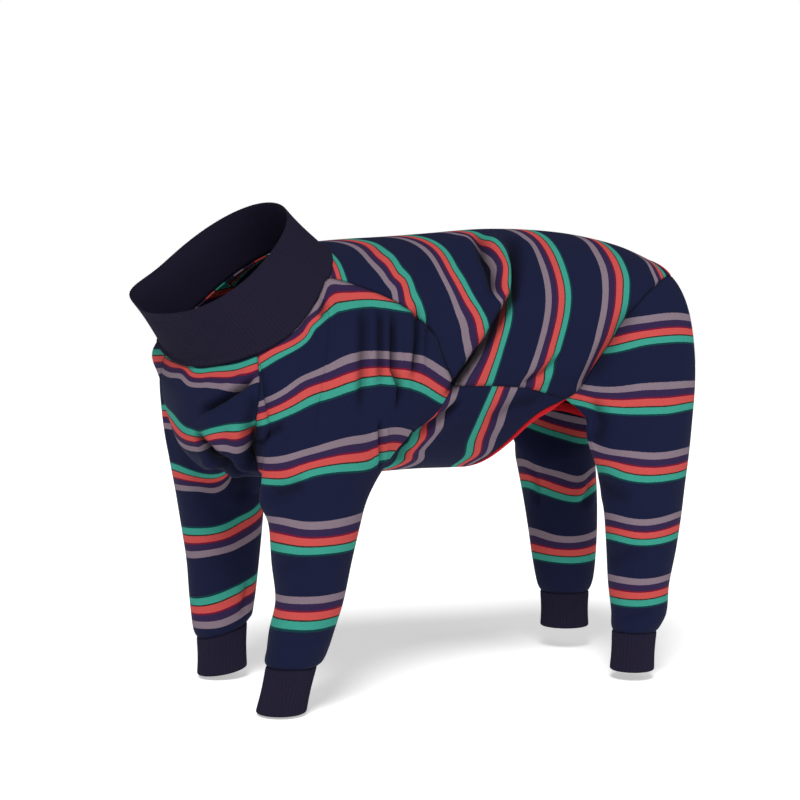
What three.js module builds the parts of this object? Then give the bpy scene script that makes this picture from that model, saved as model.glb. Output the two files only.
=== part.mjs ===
// Four-legged jumpsuit in stretch jersey, in the form it has when worn.
// Millimetres, +Z up, -X the neck end, +X the rear, -Y the wearer's left.
import * as THREE from 'three';

// Overall sizes
const BODY_LENGTH = 294;      // back seam of the collar to the end of the back panel
const BODY_DEPTH = 200;       // belly line to back line
const BODY_WIDTH = 168;       // widest part of the chest
const FRONT_LEG = 146;        // belly line to the front cuff seam
const HIND_LEG = 132;         // belly line to the hind cuff seam
const SLEEVE_GIRTH = 80;      // front-to-rear width of a sleeve at the belly line
const THIGH_GIRTH = 84;       // front-to-rear width of a hind leg at the belly line
const COLLAR_HEIGHT = 44;
const COLLAR_CLOSE = 0.93;    // how far the collar narrows to its free edge
const FRONT_CUFF = 30;
const HIND_CUFF = 32;
const BINDING_WIDTH = 11;
const EDGE_EASE = 2;          // how many knots the thigh's edge takes to turn over
const BINDING_EASE = 3;      // how widely the binding eases round its corners

// Cloth
const JERSEY = 1.6;           // thickness of the striped jersey
const RIB_KNIT = 2.2;         // thickness of the collar, cuffs and binding
const RIB_RELIEF = 0.7;       // how far each rib stands out
const SEAM_GAP = 0.3;

// Number of steps along each seam and across each panel
const STEPS = {
  raglan: 11, chest: 15, flank: 4, hip: 8, neckSide: 5,
  acrossBack: 14, acrossBelly: 12, thighEdge: 16,
  shoulder: 8, sleeve: 6, haunch: 8, shank: 6, ring: 2,
};

const NAVY = 0x1b1f42;
const RIB_NAVY = 0x1c1a2a;
const RED = 0xe11e28;

// Turns rows under named columns into a smooth curve read at any place along the first column.
function curve(names, rows) {
  const slope = (k, c) => {
    const a = rows[Math.max(k - 1, 0)];
    const b = rows[Math.min(k + 1, rows.length - 1)];
    return (b[c] - a[c]) / (b[0] - a[0]);
  };
  return (place) => {
    let k = 0;
    while (k < rows.length - 2 && place > rows[k + 1][0]) k += 1;
    const h = rows[k + 1][0] - rows[k][0];
    const u = Math.min(Math.max((place - rows[k][0]) / h, 0), 1);
    const found = {};
    names.forEach((name, c) => {
      const p = rows[k][c];
      const q = rows[k + 1][c];
      found[name] = (2 * u ** 3 - 3 * u ** 2 + 1) * p + (3 * u ** 2 - 2 * u ** 3) * q
        + (u ** 3 - 2 * u ** 2 + u) * h * slope(k, c) + (u ** 3 - u ** 2) * h * slope(k + 1, c);
    });
    return found;
  };
}

// Slanted sections of the body from neck (0) to rear (1). Each runs from a point on the back to a
// point on the underside: lengths are shares of BODY_LENGTH from the collar seam, heights are
// shares of BODY_DEPTH from the belly line, half and aside are shares of BODY_WIDTH.
const section = curve(
  ['at', 'backX', 'backZ', 'underX', 'underZ', 'half', 'widest', 'roundBack', 'roundUnder', 'aside', 'turn'],
  [
    [0.00, 0.000, 0.930, -0.361, 0.450, 0.393, 0.42, 2.0, 2.5, 0.024, 22],
    [0.08, 0.061, 0.945, -0.395, 0.310, 0.452, 0.43, 2.1, 2.6, 0.024, 22],
    [0.18, 0.143, 0.962, -0.395, 0.150, 0.488, 0.46, 2.2, 2.5, 0.018, 19],
    [0.30, 0.238, 0.975, -0.293, 0.030, 0.500, 0.50, 2.2, 2.3, 0.012, 13],
    [0.42, 0.347, 0.985, -0.027, 0.005, 0.500, 0.50, 2.2, 2.2, 0.000, 6],
    [0.54, 0.490, 1.000, 0.279, 0.020, 0.488, 0.48, 2.2, 2.1, 0.000, 0],
    [0.66, 0.633, 1.003, 0.517, 0.050, 0.458, 0.47, 2.2, 2.1, 0.000, 0],
    [0.78, 0.769, 0.990, 0.714, 0.130, 0.440, 0.50, 2.2, 2.1, 0.000, 0],
    [0.90, 0.898, 0.953, 0.925, 0.250, 0.452, 0.50, 2.2, 2.1, 0.000, 0],
    [1.00, 1.000, 0.898, 1.061, 0.330, 0.440, 0.50, 2.1, 2.1, 0.000, 0],
  ],
);

// Folds and tucks of the body: a crease runs between two places (share along, degrees round from
// the back, plus on the wearer's left), and stands out (or in) by rise over a half width in mm.
const FOLD_COLUMNS = ['at0', 'round0', 'at1', 'round1', 'halfWidth', 'rise'];
const BODY_FOLDS = [
  [0.56, 24, 0.52, 55, 9, 3.6],
  [0.52, 55, 0.50, 92, 9, 3.4],
  [0.58, 26, 0.55, 60, 8, -3.0],
  [0.55, 60, 0.53, 92, 8, -2.6],
  [0.66, 30, 0.63, 95, 12, 2.0],
  [0.74, 25, 0.73, 95, 12, -2.0],
  [0.20, 150, 0.24, 190, 9, -3.0],
  [0.13, 150, 0.16, 195, 10, 2.6],
  [0.30, 40, 0.42, 70, 10, 2.2],
  [0.24, -40, 0.44, -80, 12, 2.2],
  [0.58, -28, 0.54, -85, 12, 2.6],
  [0.72, -30, 0.66, -95, 12, -2.0],
];
const ALONG_SPAN = 1.4 * BODY_LENGTH;
const ROUND_SPAN = 0.6 * BODY_WIDTH;

function foldRise(at, round) {
  let rise = 0;
  for (const row of BODY_FOLDS) {
    const fold = Object.fromEntries(FOLD_COLUMNS.map((name, c) => [name, row[c]]));
    const flat = (a, r) => new THREE.Vector2(a * ALONG_SPAN, THREE.MathUtils.degToRad(r) * ROUND_SPAN);
    for (const lap of [0, 360, -360]) {
      const here = flat(at, round + lap);
      const start = flat(fold.at0, fold.round0);
      const reach = flat(fold.at1, fold.round1).sub(start);
      const share = Math.min(Math.max(here.clone().sub(start).dot(reach) / reach.lengthSq(), 0), 1);
      const away = here.distanceTo(start.addScaledVector(reach, share));
      rise += fold.rise * Math.exp(-((away / fold.halfWidth) ** 2));
    }
  }
  return rise;
}

// A point of the body's smooth surface: round is in degrees, 0 on the back, 90 on the left, 180 below.
function smoothBody(at, round) {
  const s = section(at);
  const angle = THREE.MathUtils.degToRad(round);
  const power = 2 / (Math.cos(angle) >= 0 ? s.roundBack : s.roundUnder);
  const bend = (v) => Math.sign(v) * Math.abs(v) ** power;
  const up = bend(Math.cos(angle));
  const height = up >= 0 ? s.widest + (1 - s.widest) * up : s.widest * (1 + up);
  const middle = BODY_LENGTH * (s.backX + s.underX) / 2;
  const x = BODY_LENGTH * (s.underX + (s.backX - s.underX) * height) - middle;
  const y = -BODY_WIDTH * s.half * bend(Math.sin(angle));
  const turn = THREE.MathUtils.degToRad(s.turn);
  return new THREE.Vector3(
    middle + x * Math.cos(turn) - y * Math.sin(turn),
    BODY_WIDTH * s.aside + x * Math.sin(turn) + y * Math.cos(turn),
    BODY_DEPTH * (s.underZ + (s.backZ - s.underZ) * height),
  );
}

function bodyNormal(at, round) {
  const along = smoothBody(Math.min(at + 0.01, 1), round).sub(smoothBody(Math.max(at - 0.01, 0), round));
  const across = smoothBody(at, round + 2).sub(smoothBody(at, round - 2));
  return across.cross(along).normalize();
}

function bodyPoint(at, round) {
  return smoothBody(at, round).addScaledVector(bodyNormal(at, round), foldRise(at, round));
}

// Seams of the wearer's left side on the body: share along and degrees round.
const RAGLAN = [[0, 62], [0.11, 62], [0.28, 69], [0.39, 80], [0.45, 91], [0.497, 105]];
const CHEST = [[0, 133], [0.09, 132], [0.18, 138], [0.25, 148], [0.31, 157], [0.37, 162], [0.42, 159],
  [0.457, 146], [0.478, 127], [0.497, 105]];
const FLANK = [[0.497, 105], [0.59, 106], [0.645, 109], [0.715, 119]];
const HIP = [[0.715, 119], [0.753, 115], [0.785, 103], [0.82, 88], [0.868, 75], [0.925, 62], [1, 46]];
const BELLY_BOW = 0.05;       // how far the belly's cross lines bow towards the neck
// Rear edge of the belly panel, from the middle underneath to the flank.
const BELLY_EDGE = [[0.60, 180], [0.615, 165], [0.635, 142], [0.662, 125], [0.715, 119]];

// Free edge of the left hind leg, from flank to rump: shares of BODY_LENGTH, BODY_WIDTH, BODY_DEPTH.
const THIGH_EDGE = [
  [0.695, -0.335, 0.240], [0.785, -0.278, 0.195], [0.885, -0.222, 0.165], [0.990, -0.190, 0.190],
  [1.065, -0.190, 0.310], [1.095, -0.205, 0.500], [1.070, -0.235, 0.690],
];

// Picks evenly spaced places along a row of points (any number of numbers per point).
function spaced(points, steps, scale) {
  const fine = [];
  const pick = (k, c) => points[Math.min(Math.max(k, 0), points.length - 1)][c];
  for (let k = 0; k < points.length - 1; k += 1) {
    for (let i = 0; i < 16; i += 1) {
      const u = i / 16;
      fine.push(points[0].map((_, c) => {
        const m0 = (pick(k + 1, c) - pick(k - 1, c)) / 2;
        const m1 = (pick(k + 2, c) - pick(k, c)) / 2;
        return (2 * u ** 3 - 3 * u ** 2 + 1) * pick(k, c) + (3 * u ** 2 - 2 * u ** 3) * pick(k + 1, c)
          + (u ** 3 - 2 * u ** 2 + u) * m0 + (u ** 3 - u ** 2) * m1;
      }));
    }
  }
  fine.push(points[points.length - 1]);
  const run = [0];
  for (let i = 1; i < fine.length; i += 1) {
    run.push(run[i - 1] + Math.hypot(...fine[i].map((v, c) => (v - fine[i - 1][c]) * scale[c])));
  }
  const picked = [];
  for (let s = 0; s <= steps; s += 1) {
    const goal = run[run.length - 1] * s / steps;
    let i = 1;
    while (i < fine.length - 1 && run[i] < goal) i += 1;
    const u = (goal - run[i - 1]) / (run[i] - run[i - 1]);
    picked.push(fine[i].map((v, c) => fine[i - 1][c] + (v - fine[i - 1][c]) * u));
  }
  return picked;
}

const bodyScale = [ALONG_SPAN, THREE.MathUtils.degToRad(ROUND_SPAN)];

// A knot is one point of the cloth's middle surface; neighbours that meet at a seam share it.
let knotCount = 0;
function knot(point, place) {
  knotCount += 1;
  return { point, place, count: knotCount, facings: [], normal: null };
}
const bodyKnot = (place) => knot(bodyPoint(place[0], place[1]), place);
const alongSeam = (rows, steps, side) => spaced(rows, steps, bodyScale)
  .map(([at, round]) => [at, side > 0 ? round : 360 - round]);

// Seam knots of one side, side 1 for the wearer's left and -1 for the right.
function seamsOf(side) {
  const line = (rows, steps) => alongSeam(rows, steps, side).map(bodyKnot);
  const raglan = line(RAGLAN, STEPS.raglan);
  const chest = line(CHEST, STEPS.chest);
  const flank = line(FLANK, STEPS.flank);
  const hip = line(HIP, STEPS.hip);
  const bellyEdge = line(BELLY_EDGE, STEPS.acrossBelly / 2);
  const neckSide = line([RAGLAN[0], CHEST[0]], STEPS.neckSide);
  chest[STEPS.chest] = raglan[STEPS.raglan];
  flank[0] = raglan[STEPS.raglan];
  hip[0] = flank[STEPS.flank];
  bellyEdge[STEPS.acrossBelly / 2] = flank[STEPS.flank];
  neckSide[0] = raglan[0];
  neckSide[STEPS.neckSide] = chest[0];
  const ends = [hip[0].point, hip[STEPS.hip].point]
    .map((p) => [p.x / BODY_LENGTH, side * p.y / BODY_WIDTH, p.z / BODY_DEPTH]);
  const edge = spaced([ends[0], ...THIGH_EDGE, ends[1]], STEPS.thighEdge, [BODY_LENGTH, BODY_WIDTH, BODY_DEPTH])
    .map(([x, y, z]) => knot(new THREE.Vector3(x * BODY_LENGTH, side * y * BODY_WIDTH, z * BODY_DEPTH)));
  edge[0] = hip[0];
  edge[STEPS.thighEdge] = hip[STEPS.hip];
  return { raglan, chest, flank, hip, bellyEdge, neckSide, thighEdge: edge };
}

const left = seamsOf(1);
const right = seamsOf(-1);
const shared = (leftLine, rightLine) => { rightLine[0] = leftLine[0]; };
shared(left.bellyEdge, right.bellyEdge);

// Fills a panel of the body between its side seams: rows run from one side to the other, bowed
// towards the neck by bow (a share along) and, over the last rearRows rows, taking up the rear edge.
function bodyPanel(sideLeft, sideRight, front, rear, bow, rearRows) {
  const rows = sideLeft.length - 1;
  const columns = front.length - 1;
  return sideLeft.map((start, i) => front.map((first, j) => {
    if (j === 0) return start;
    if (j === columns) return sideRight[i];
    if (i === 0) return first;
    if (i === rows) return rear[j];
    const v = j / columns;
    const bowed = Math.sin(Math.PI * Math.min(i / (rows - rearRows), 1)) * Math.sin(Math.PI * v) ** 2;
    const late = Math.max(0, (i - rows + rearRows) / rearRows);
    return bodyKnot([0, 1].map((c) => {
      const straight = (from, to) => from.place[c] + (to.place[c] - from.place[c]) * v;
      return straight(start, sideRight[i]) - (c === 0 ? bow * bowed : 0)
        + late * (rear[j].place[c] - straight(rear[0], rear[columns]));
    }));
  }));
}

// A line of new knots straight across between two knots of the body, ends kept.
function across(from, to, steps) {
  return Array.from({ length: steps + 1 }, (_, j) => {
    if (j === 0) return from;
    if (j === steps) return to;
    return bodyKnot([0, 1].map((c) => from.place[c] + (to.place[c] - from.place[c]) * j / steps));
  });
}

// The back is read from left (plus) to right (minus), so its right seams are kept as minus degrees.
const rightOnBack = (line) => line.map((k) => { k.place = [k.place[0], k.place[1] - 360]; return k; });
const backLeft = [...left.raglan, ...left.flank.slice(1), ...left.hip.slice(1)];
const bellyLeft = [...left.chest, ...left.flank.slice(1)];
const bellyRight = [...right.chest, ...right.flank.slice(1)];
const bellyFront = across(left.chest[0], right.chest[0], STEPS.acrossBelly);
const bellyRear = [...left.bellyEdge.slice().reverse(), ...right.bellyEdge.slice(1)];
const belly = bodyPanel(bellyLeft, bellyRight, bellyFront, bellyRear, BELLY_BOW, STEPS.flank);
const backRight = [...right.raglan, ...right.flank.slice(1), ...right.hip.slice(1)];
rightOnBack([...new Set(backRight)]);
const backFront = across(left.raglan[0], right.raglan[0], STEPS.acrossBack);
const backRear = across(left.hip[STEPS.hip], right.hip[STEPS.hip], STEPS.acrossBack);
const back = bodyPanel(backLeft, backRight, backFront, backRear, 0, STEPS.hip);

// Legs as level rings down to the cuff seam: share down the leg, middle (shares of BODY_LENGTH and
// BODY_WIDTH), and half length and half width (shares of the girth at the top).
const LEG_COLUMNS = ['down', 'x', 'out', 'long', 'wide'];
const LEGS = {
  sleeve_left: [
    [0.164, -0.096, -0.393, 0.440, 0.368], [0.397, -0.104, -0.399, 0.392, 0.338],
    [0.603, -0.112, -0.405, 0.366, 0.325], [0.753, -0.129, -0.405, 0.340, 0.300],
    [0.870, -0.152, -0.405, 0.306, 0.275], [0.925, -0.164, -0.405, 0.282, 0.255],
    [0.960, -0.168, -0.405, 0.238, 0.232],
  ],
  sleeve_right: [
    [0.130, -0.204, 0.417, 0.450, 0.400], [0.336, -0.197, 0.435, 0.405, 0.375],
    [0.507, -0.194, 0.440, 0.368, 0.338], [0.700, -0.196, 0.440, 0.335, 0.312],
    [0.850, -0.197, 0.446, 0.300, 0.280], [0.910, -0.197, 0.446, 0.280, 0.262],
    [0.945, -0.197, 0.446, 0.245, 0.238],
  ],
  hind_leg_left: [
    [0.000, 0.892, -0.411, 0.482, 0.375], [0.235, 0.892, -0.420, 0.420, 0.340],
    [0.460, 0.887, -0.423, 0.373, 0.312], [0.700, 0.879, -0.423, 0.318, 0.280],
    [0.870, 0.871, -0.423, 0.268, 0.245], [0.935, 0.864, -0.423, 0.238, 0.226],
    [0.975, 0.858, -0.423, 0.204, 0.202],
  ],
  hind_leg_right: [
    [0.000, 0.864, 0.369, 0.425, 0.390], [0.235, 0.882, 0.378, 0.398, 0.372],
    [0.460, 0.895, 0.387, 0.372, 0.345], [0.680, 0.902, 0.393, 0.342, 0.320],
    [0.835, 0.905, 0.393, 0.312, 0.290], [0.905, 0.905, 0.393, 0.285, 0.268],
    [0.945, 0.905, 0.393, 0.250, 0.242],
  ],
};

// Turns round a leg, in degrees from the rear over the inner side, at the ends of its seams.
const SLEEVE_TURNS = { joint: -15, chestTop: 185, raglanTop: 235, jointAgain: 345 };
const HIND_TURNS = { flank: 180, rump: 335, flankAgain: 540 };

// Places round the top loop, as equal steps of turn between named corners.
function turnsFor(corners, counts) {
  const turns = [];
  counts.forEach((count, c) => {
    for (let i = 0; i < count; i += 1) turns.push(corners[c] + (corners[c + 1] - corners[c]) * i / count);
  });
  return turns;
}

function legRing(name, side, length, girth, down, turns) {
  const ring = curve(LEG_COLUMNS, LEGS[name])(down);
  return turns.map((turn) => {
    const angle = THREE.MathUtils.degToRad(turn);
    return new THREE.Vector3(
      BODY_LENGTH * ring.x + girth * ring.long * Math.cos(angle),
      BODY_WIDTH * ring.out + side * girth * ring.wide * Math.sin(angle),
      -length * down,
    );
  });
}

// A leg panel: from its loop of seam knots over the shoulder or haunch, then down the rings.
// For each column, follow says how closely the cloth leaves the seam along the body's own surface,
// and square how far it turns to leave at a right angle to the seam.
function legPanel({ name, side, loop, turns, length, girth, bulge, topRows, lowRows, follow, square, fullness }) {
  const table = LEGS[name];
  const first = table[0][0];
  const last = table[table.length - 1][0];
  const topRing = legRing(name, side, length, girth, first, turns);
  const nextRing = legRing(name, side, length, girth, first + 0.12, turns);
  const middle = topRing.reduce((sum, p) => sum.add(p), new THREE.Vector3()).divideScalar(topRing.length);
  const grid = [loop];
  for (let i = 1; i <= topRows; i += 1) {
    const u = i / topRows;
    grid.push(loop.map((start, j) => {
      const span = topRing[j].clone().sub(start.point);
      const reach = span.length();
      const facing = start.place ? bodyNormal(start.place[0], start.place[1])
        : start.point.clone().sub(middle).setZ(0).normalize();
      const before = loop[(j + loop.length - 1) % loop.length].point;
      const after = loop[(j + 1) % loop.length].point;
      const away = facing.clone().cross(after.clone().sub(before)).normalize().multiplyScalar(-side);
      const leave = span.clone().normalize();
      leave.addScaledVector(facing, -follow[j] * leave.dot(facing)).normalize();
      leave.lerp(away, square[j]).normalize();
      const arrive = nextRing[j].clone().sub(topRing[j]).normalize();
      const point = start.point.clone().multiplyScalar(2 * u ** 3 - 3 * u ** 2 + 1)
        .addScaledVector(topRing[j], 3 * u ** 2 - 2 * u ** 3)
        .addScaledVector(leave, reach * bulge * (u ** 3 - 2 * u ** 2 + u))
        .addScaledVector(arrive, reach * fullness * (u ** 3 - u ** 2));
      return knot(point);
    }));
  }
  for (let i = 1; i <= lowRows; i += 1) {
    const down = first + (last - first) * (1 - (1 - i / lowRows) ** 1.35);
    grid.push(legRing(name, side, length, girth, down, turns).map((p) => knot(p)));
  }
  return grid;
}

function sleeve(name, side, seams) {
  const loop = [
    ...seams.chest.slice(1).reverse(), ...seams.neckSide.slice(1).reverse(), ...seams.raglan.slice(0, -1),
  ];
  const counts = [STEPS.chest, STEPS.neckSide, STEPS.raglan];
  const turns = turnsFor(Object.values(SLEEVE_TURNS), counts);
  const under = loop.map((k) => {
    const round = Math.min(Math.abs(k.place[1]), 360 - Math.abs(k.place[1]));
    return THREE.MathUtils.smoothstep(round, 126, 160);
  });
  const follow = under.map((u) => 1 - 0.9 * u);
  const square = under.map((u) => 0.25 * (1 - u));
  return legPanel({
    name, side, loop, turns, follow, square, length: FRONT_LEG, girth: SLEEVE_GIRTH,
    bulge: 1.05, fullness: 0.75, topRows: STEPS.shoulder, lowRows: STEPS.sleeve,
  });
}

function hindLeg(name, side, seams) {
  const loop = [...seams.hip.slice(0, -1), ...seams.thighEdge.slice(1).reverse()];
  const turns = turnsFor(Object.values(HIND_TURNS), [STEPS.hip, STEPS.thighEdge]);
  const follow = loop.map((k) => (seams.hip.includes(k) ? 1 : 0.5));
  const square = loop.map((k) => (seams.hip.includes(k) ? 0.3 : 0.6));
  return legPanel({
    name, side, loop, turns, follow, square, length: HIND_LEG, girth: THIGH_GIRTH,
    bulge: 1.0, fullness: 0.8, topRows: STEPS.haunch, lowRows: STEPS.shank,
  });
}

// A cuff carries the last ring of its leg straight down and closes in a little.
function cuff(legGrid, height, lean) {
  const rim = legGrid[legGrid.length - 1];
  const before = legGrid[legGrid.length - 2];
  const middle = (ring) => ring.reduce((sum, k) => sum.add(k.point), new THREE.Vector3()).divideScalar(ring.length);
  const centre = middle(rim);
  const drift = centre.clone().sub(middle(before)).multiplyScalar(lean / Math.abs(centre.z - middle(before).z));
  const grid = [rim];
  for (let i = 1; i <= STEPS.ring; i += 1) {
    const u = i / STEPS.ring;
    const size = 1 - 0.06 * Math.sin(Math.PI * u * 0.8) + 0.03 * u;
    grid.push(rim.map((k) => knot(new THREE.Vector3(
      centre.x + drift.x * height * u + (k.point.x - centre.x) * size,
      centre.y + drift.y * height * u + (k.point.y - centre.y) * size,
      centre.z - height * u,
    ))));
  }
  return grid;
}

// The collar stands on the whole neck seam and closes in towards its free edge.
const COLLAR_LEAN = new THREE.Vector3(-0.66, 0, 0.75).normalize();
function collar() {
  const seam = [
    ...backFront.slice(0, -1), ...right.neckSide.slice(0, -1),
    ...bellyFront.slice().reverse().slice(0, -1), ...left.neckSide.slice().reverse().slice(0, -1),
  ];
  const rim = [];
  seam.forEach((k, j) => {
    const next = seam[(j + 1) % seam.length];
    rim.push(k, { ...knot(k.point.clone().add(next.point).multiplyScalar(0.5)), between: [k, next] });
  });
  const centre = seam.reduce((sum, k) => sum.add(k.point), new THREE.Vector3()).divideScalar(seam.length);
  const grid = [rim];
  for (let i = 1; i <= STEPS.ring; i += 1) {
    const u = i / STEPS.ring;
    const size = 1 + (COLLAR_CLOSE - 1) * Math.sin(u * Math.PI / 2);
    grid.push(rim.map((k) => knot(k.point.clone().sub(centre).multiplyScalar(size).add(centre)
      .addScaledVector(COLLAR_LEAN, COLLAR_HEIGHT * u))));
  }
  return grid;
}

const sleeveLeft = sleeve('sleeve_left', 1, left);
const sleeveRight = sleeve('sleeve_right', -1, right);
const hindLeft = hindLeg('hind_leg_left', 1, left);
const hindRight = hindLeg('hind_leg_right', -1, right);

const panels = [
  { name: 'back_panel', grid: back, thick: JERSEY, colour: NAVY },
  { name: 'belly_panel', grid: belly, thick: JERSEY, colour: NAVY },
  { name: 'sleeve_left', grid: sleeveLeft, round: true, thick: JERSEY, colour: NAVY },
  { name: 'sleeve_right', grid: sleeveRight, round: true, thick: JERSEY, colour: NAVY },
  { name: 'hind_leg_left', grid: hindLeft, round: true, thick: JERSEY, colour: NAVY },
  { name: 'hind_leg_right', grid: hindRight, round: true, thick: JERSEY, colour: NAVY },
  { name: 'collar', grid: collar(), round: true, thick: RIB_KNIT, colour: RIB_NAVY, ribs: true },
  { name: 'cuff_front_left', grid: cuff(sleeveLeft, FRONT_CUFF, 0.5), round: true, thick: RIB_KNIT,
    colour: RIB_NAVY, ribs: true },
  { name: 'cuff_front_right', grid: cuff(sleeveRight, FRONT_CUFF, 0.5), round: true, thick: RIB_KNIT,
    colour: RIB_NAVY, ribs: true },
  { name: 'cuff_hind_left', grid: cuff(hindLeft, HIND_CUFF, 0.2), round: true, thick: RIB_KNIT,
    colour: RIB_NAVY, ribs: true },
  { name: 'cuff_hind_right', grid: cuff(hindRight, HIND_CUFF, 0.2), round: true, thick: RIB_KNIT,
    colour: RIB_NAVY, ribs: true },
];

// Facing of every knot within one panel, pointing out of the garment.
function faceOut(panel) {
  const { grid, round } = panel;
  const rows = grid.length;
  const columns = grid[0].length;
  const at = (i, j) => grid[i][round ? (j + columns) % columns : j];
  const facing = grid.map((row) => row.map(() => new THREE.Vector3()));
  for (let i = 0; i < rows - 1; i += 1) {
    for (let j = 0; j < (round ? columns : columns - 1); j += 1) {
      const a = at(i, j).point;
      const n = at(i + 1, j + 1).point.clone().sub(a)
        .cross(at(i + 1, j).point.clone().sub(at(i, j + 1).point));
      const jj = (j + 1) % columns;
      [facing[i][j], facing[i + 1][j], facing[i][jj], facing[i + 1][jj]].forEach((f) => f.add(n));
    }
  }
  const middle = new THREE.Vector3();
  grid[rows - 1].forEach((k) => middle.add(k.point));
  middle.divideScalar(columns);
  let outward = 0;
  grid[rows - 1].forEach((k, j) => { outward += facing[rows - 1][j].dot(k.point.clone().sub(middle)); });
  if (!round) {
    const k = grid[rows >> 1][columns >> 1];
    outward = facing[rows >> 1][columns >> 1].dot(bodyNormal(k.place[0], k.place[1]));
  }
  facing.flat().forEach((f) => f.normalize().multiplyScalar(outward < 0 ? -1 : 1));
  panel.facing = facing;
}

// Knots on a seam take the mitre of the panels that meet there, so their walls end on one plane.
function settle(list) {
  list.forEach((panel) => {
    faceOut(panel);
    panel.grid.forEach((row, i) => row.forEach((k, j) => {
      if (!k.between) k.facings.push(panel.facing[i][j]);
    }));
  });
  const knots = new Set(list.flatMap((panel) => panel.grid.flat()));
  knots.forEach((k) => {
    if (k.between) return;
    const sum = k.facings.reduce((a, b) => a.add(b), new THREE.Vector3()).normalize();
    const worst = Math.min(...k.facings.map((f) => f.dot(sum)));
    k.normal = sum.multiplyScalar(1 / Math.max(worst, 0.62));
  });
  knots.forEach((k) => {
    if (k.between) k.normal = k.between[0].normal.clone().add(k.between[1].normal).multiplyScalar(0.5);
  });
}
settle(panels);

// The thigh's free edge turns over from outer to inner face beside the flank, eased over a few knots.
[left, right].forEach(({ thighEdge }) => {
  for (let pass = 0; pass < EDGE_EASE; pass += 1) {
    for (let j = 1; j <= EDGE_EASE; j += 1) {
      thighEdge[j].normal.multiplyScalar(2).add(thighEdge[j - 1].normal).add(thighEdge[j + 1].normal).normalize();
    }
  }
});

// The binding carries on from the edge of the rear opening, inwards over the opening.
const openingEdge = [
  ...bellyRear.slice(0, -1), ...right.thighEdge.slice(0, -1),
  ...backRear.slice().reverse().slice(0, -1), ...left.thighEdge.slice().reverse().slice(0, -1),
];
function binding(edge, width) {
  const next = (list, j, step) => list[(j + step + edge.length) % edge.length];
  const run = edge.map((k, j) => next(edge, j, 1).point.clone().sub(next(edge, j, -1).point).normalize());
  let inwards = edge.map((k, j) => k.normal.clone().cross(run[j]).normalize());
  for (let pass = 0; pass < BINDING_EASE; pass += 1) {
    inwards = inwards.map((d, j) => d.clone().multiplyScalar(2)
      .add(next(inwards, j, 1)).add(next(inwards, j, -1)).normalize());
  }
  const grid = [edge];
  for (let i = 1; i <= STEPS.ring; i += 1) {
    grid.push(edge.map((k, j) => {
      const added = knot(k.point.clone().addScaledVector(inwards[j], width * i / STEPS.ring));
      added.normal = run[j].clone().cross(inwards[j]).normalize();
      return added;
    }));
  }
  return grid;
}
panels.push({
  name: 'opening_binding', grid: binding(openingEdge, BINDING_WIDTH), round: true, thick: RIB_KNIT, colour: RED,
});

// Moves the knots of a free or seamed edge half a seam gap into their own panel.
function insets(panel) {
  const { grid, round } = panel;
  const rows = grid.length;
  const columns = grid[0].length;
  const move = new Map();
  const edgeLines = round
    ? [grid[0].map((k, j) => [k, grid[1][j]]), grid[rows - 1].map((k, j) => [k, grid[rows - 2][j]])]
    : [[
      ...grid[0].slice(0, -1).map((k, j) => [k, grid[1][j]]),
      ...grid.slice(0, -1).map((row, i) => [row[columns - 1], grid[i][columns - 2]]),
      ...grid[rows - 1].slice(1).reverse().map((k, j) => [k, grid[rows - 2][columns - 1 - j]]),
      ...grid.slice(1).reverse().map((row, i) => [row[0], grid[rows - 1 - i][1]]),
    ]];
  edgeLines.forEach((line) => {
    const into = line.map(([k, inner], j) => {
      const [next, nextInner] = line[(j + 1) % line.length];
      const facing = k.normal.clone().normalize().add(next.normal.clone().normalize());
      const side = facing.cross(next.point.clone().sub(k.point)).normalize();
      const towards = inner.point.clone().sub(k.point).add(nextInner.point.clone().sub(next.point));
      return side.multiplyScalar(side.dot(towards) < 0 ? -1 : 1);
    });
    line.forEach(([k], j) => {
      const one = into[(j + line.length - 1) % line.length];
      const two = into[j];
      const mitre = one.clone().add(two).multiplyScalar(SEAM_GAP / 2 / Math.max(1 + one.dot(two), 0.35));
      move.set(k, mitre);
    });
  });
  return move;
}

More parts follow.
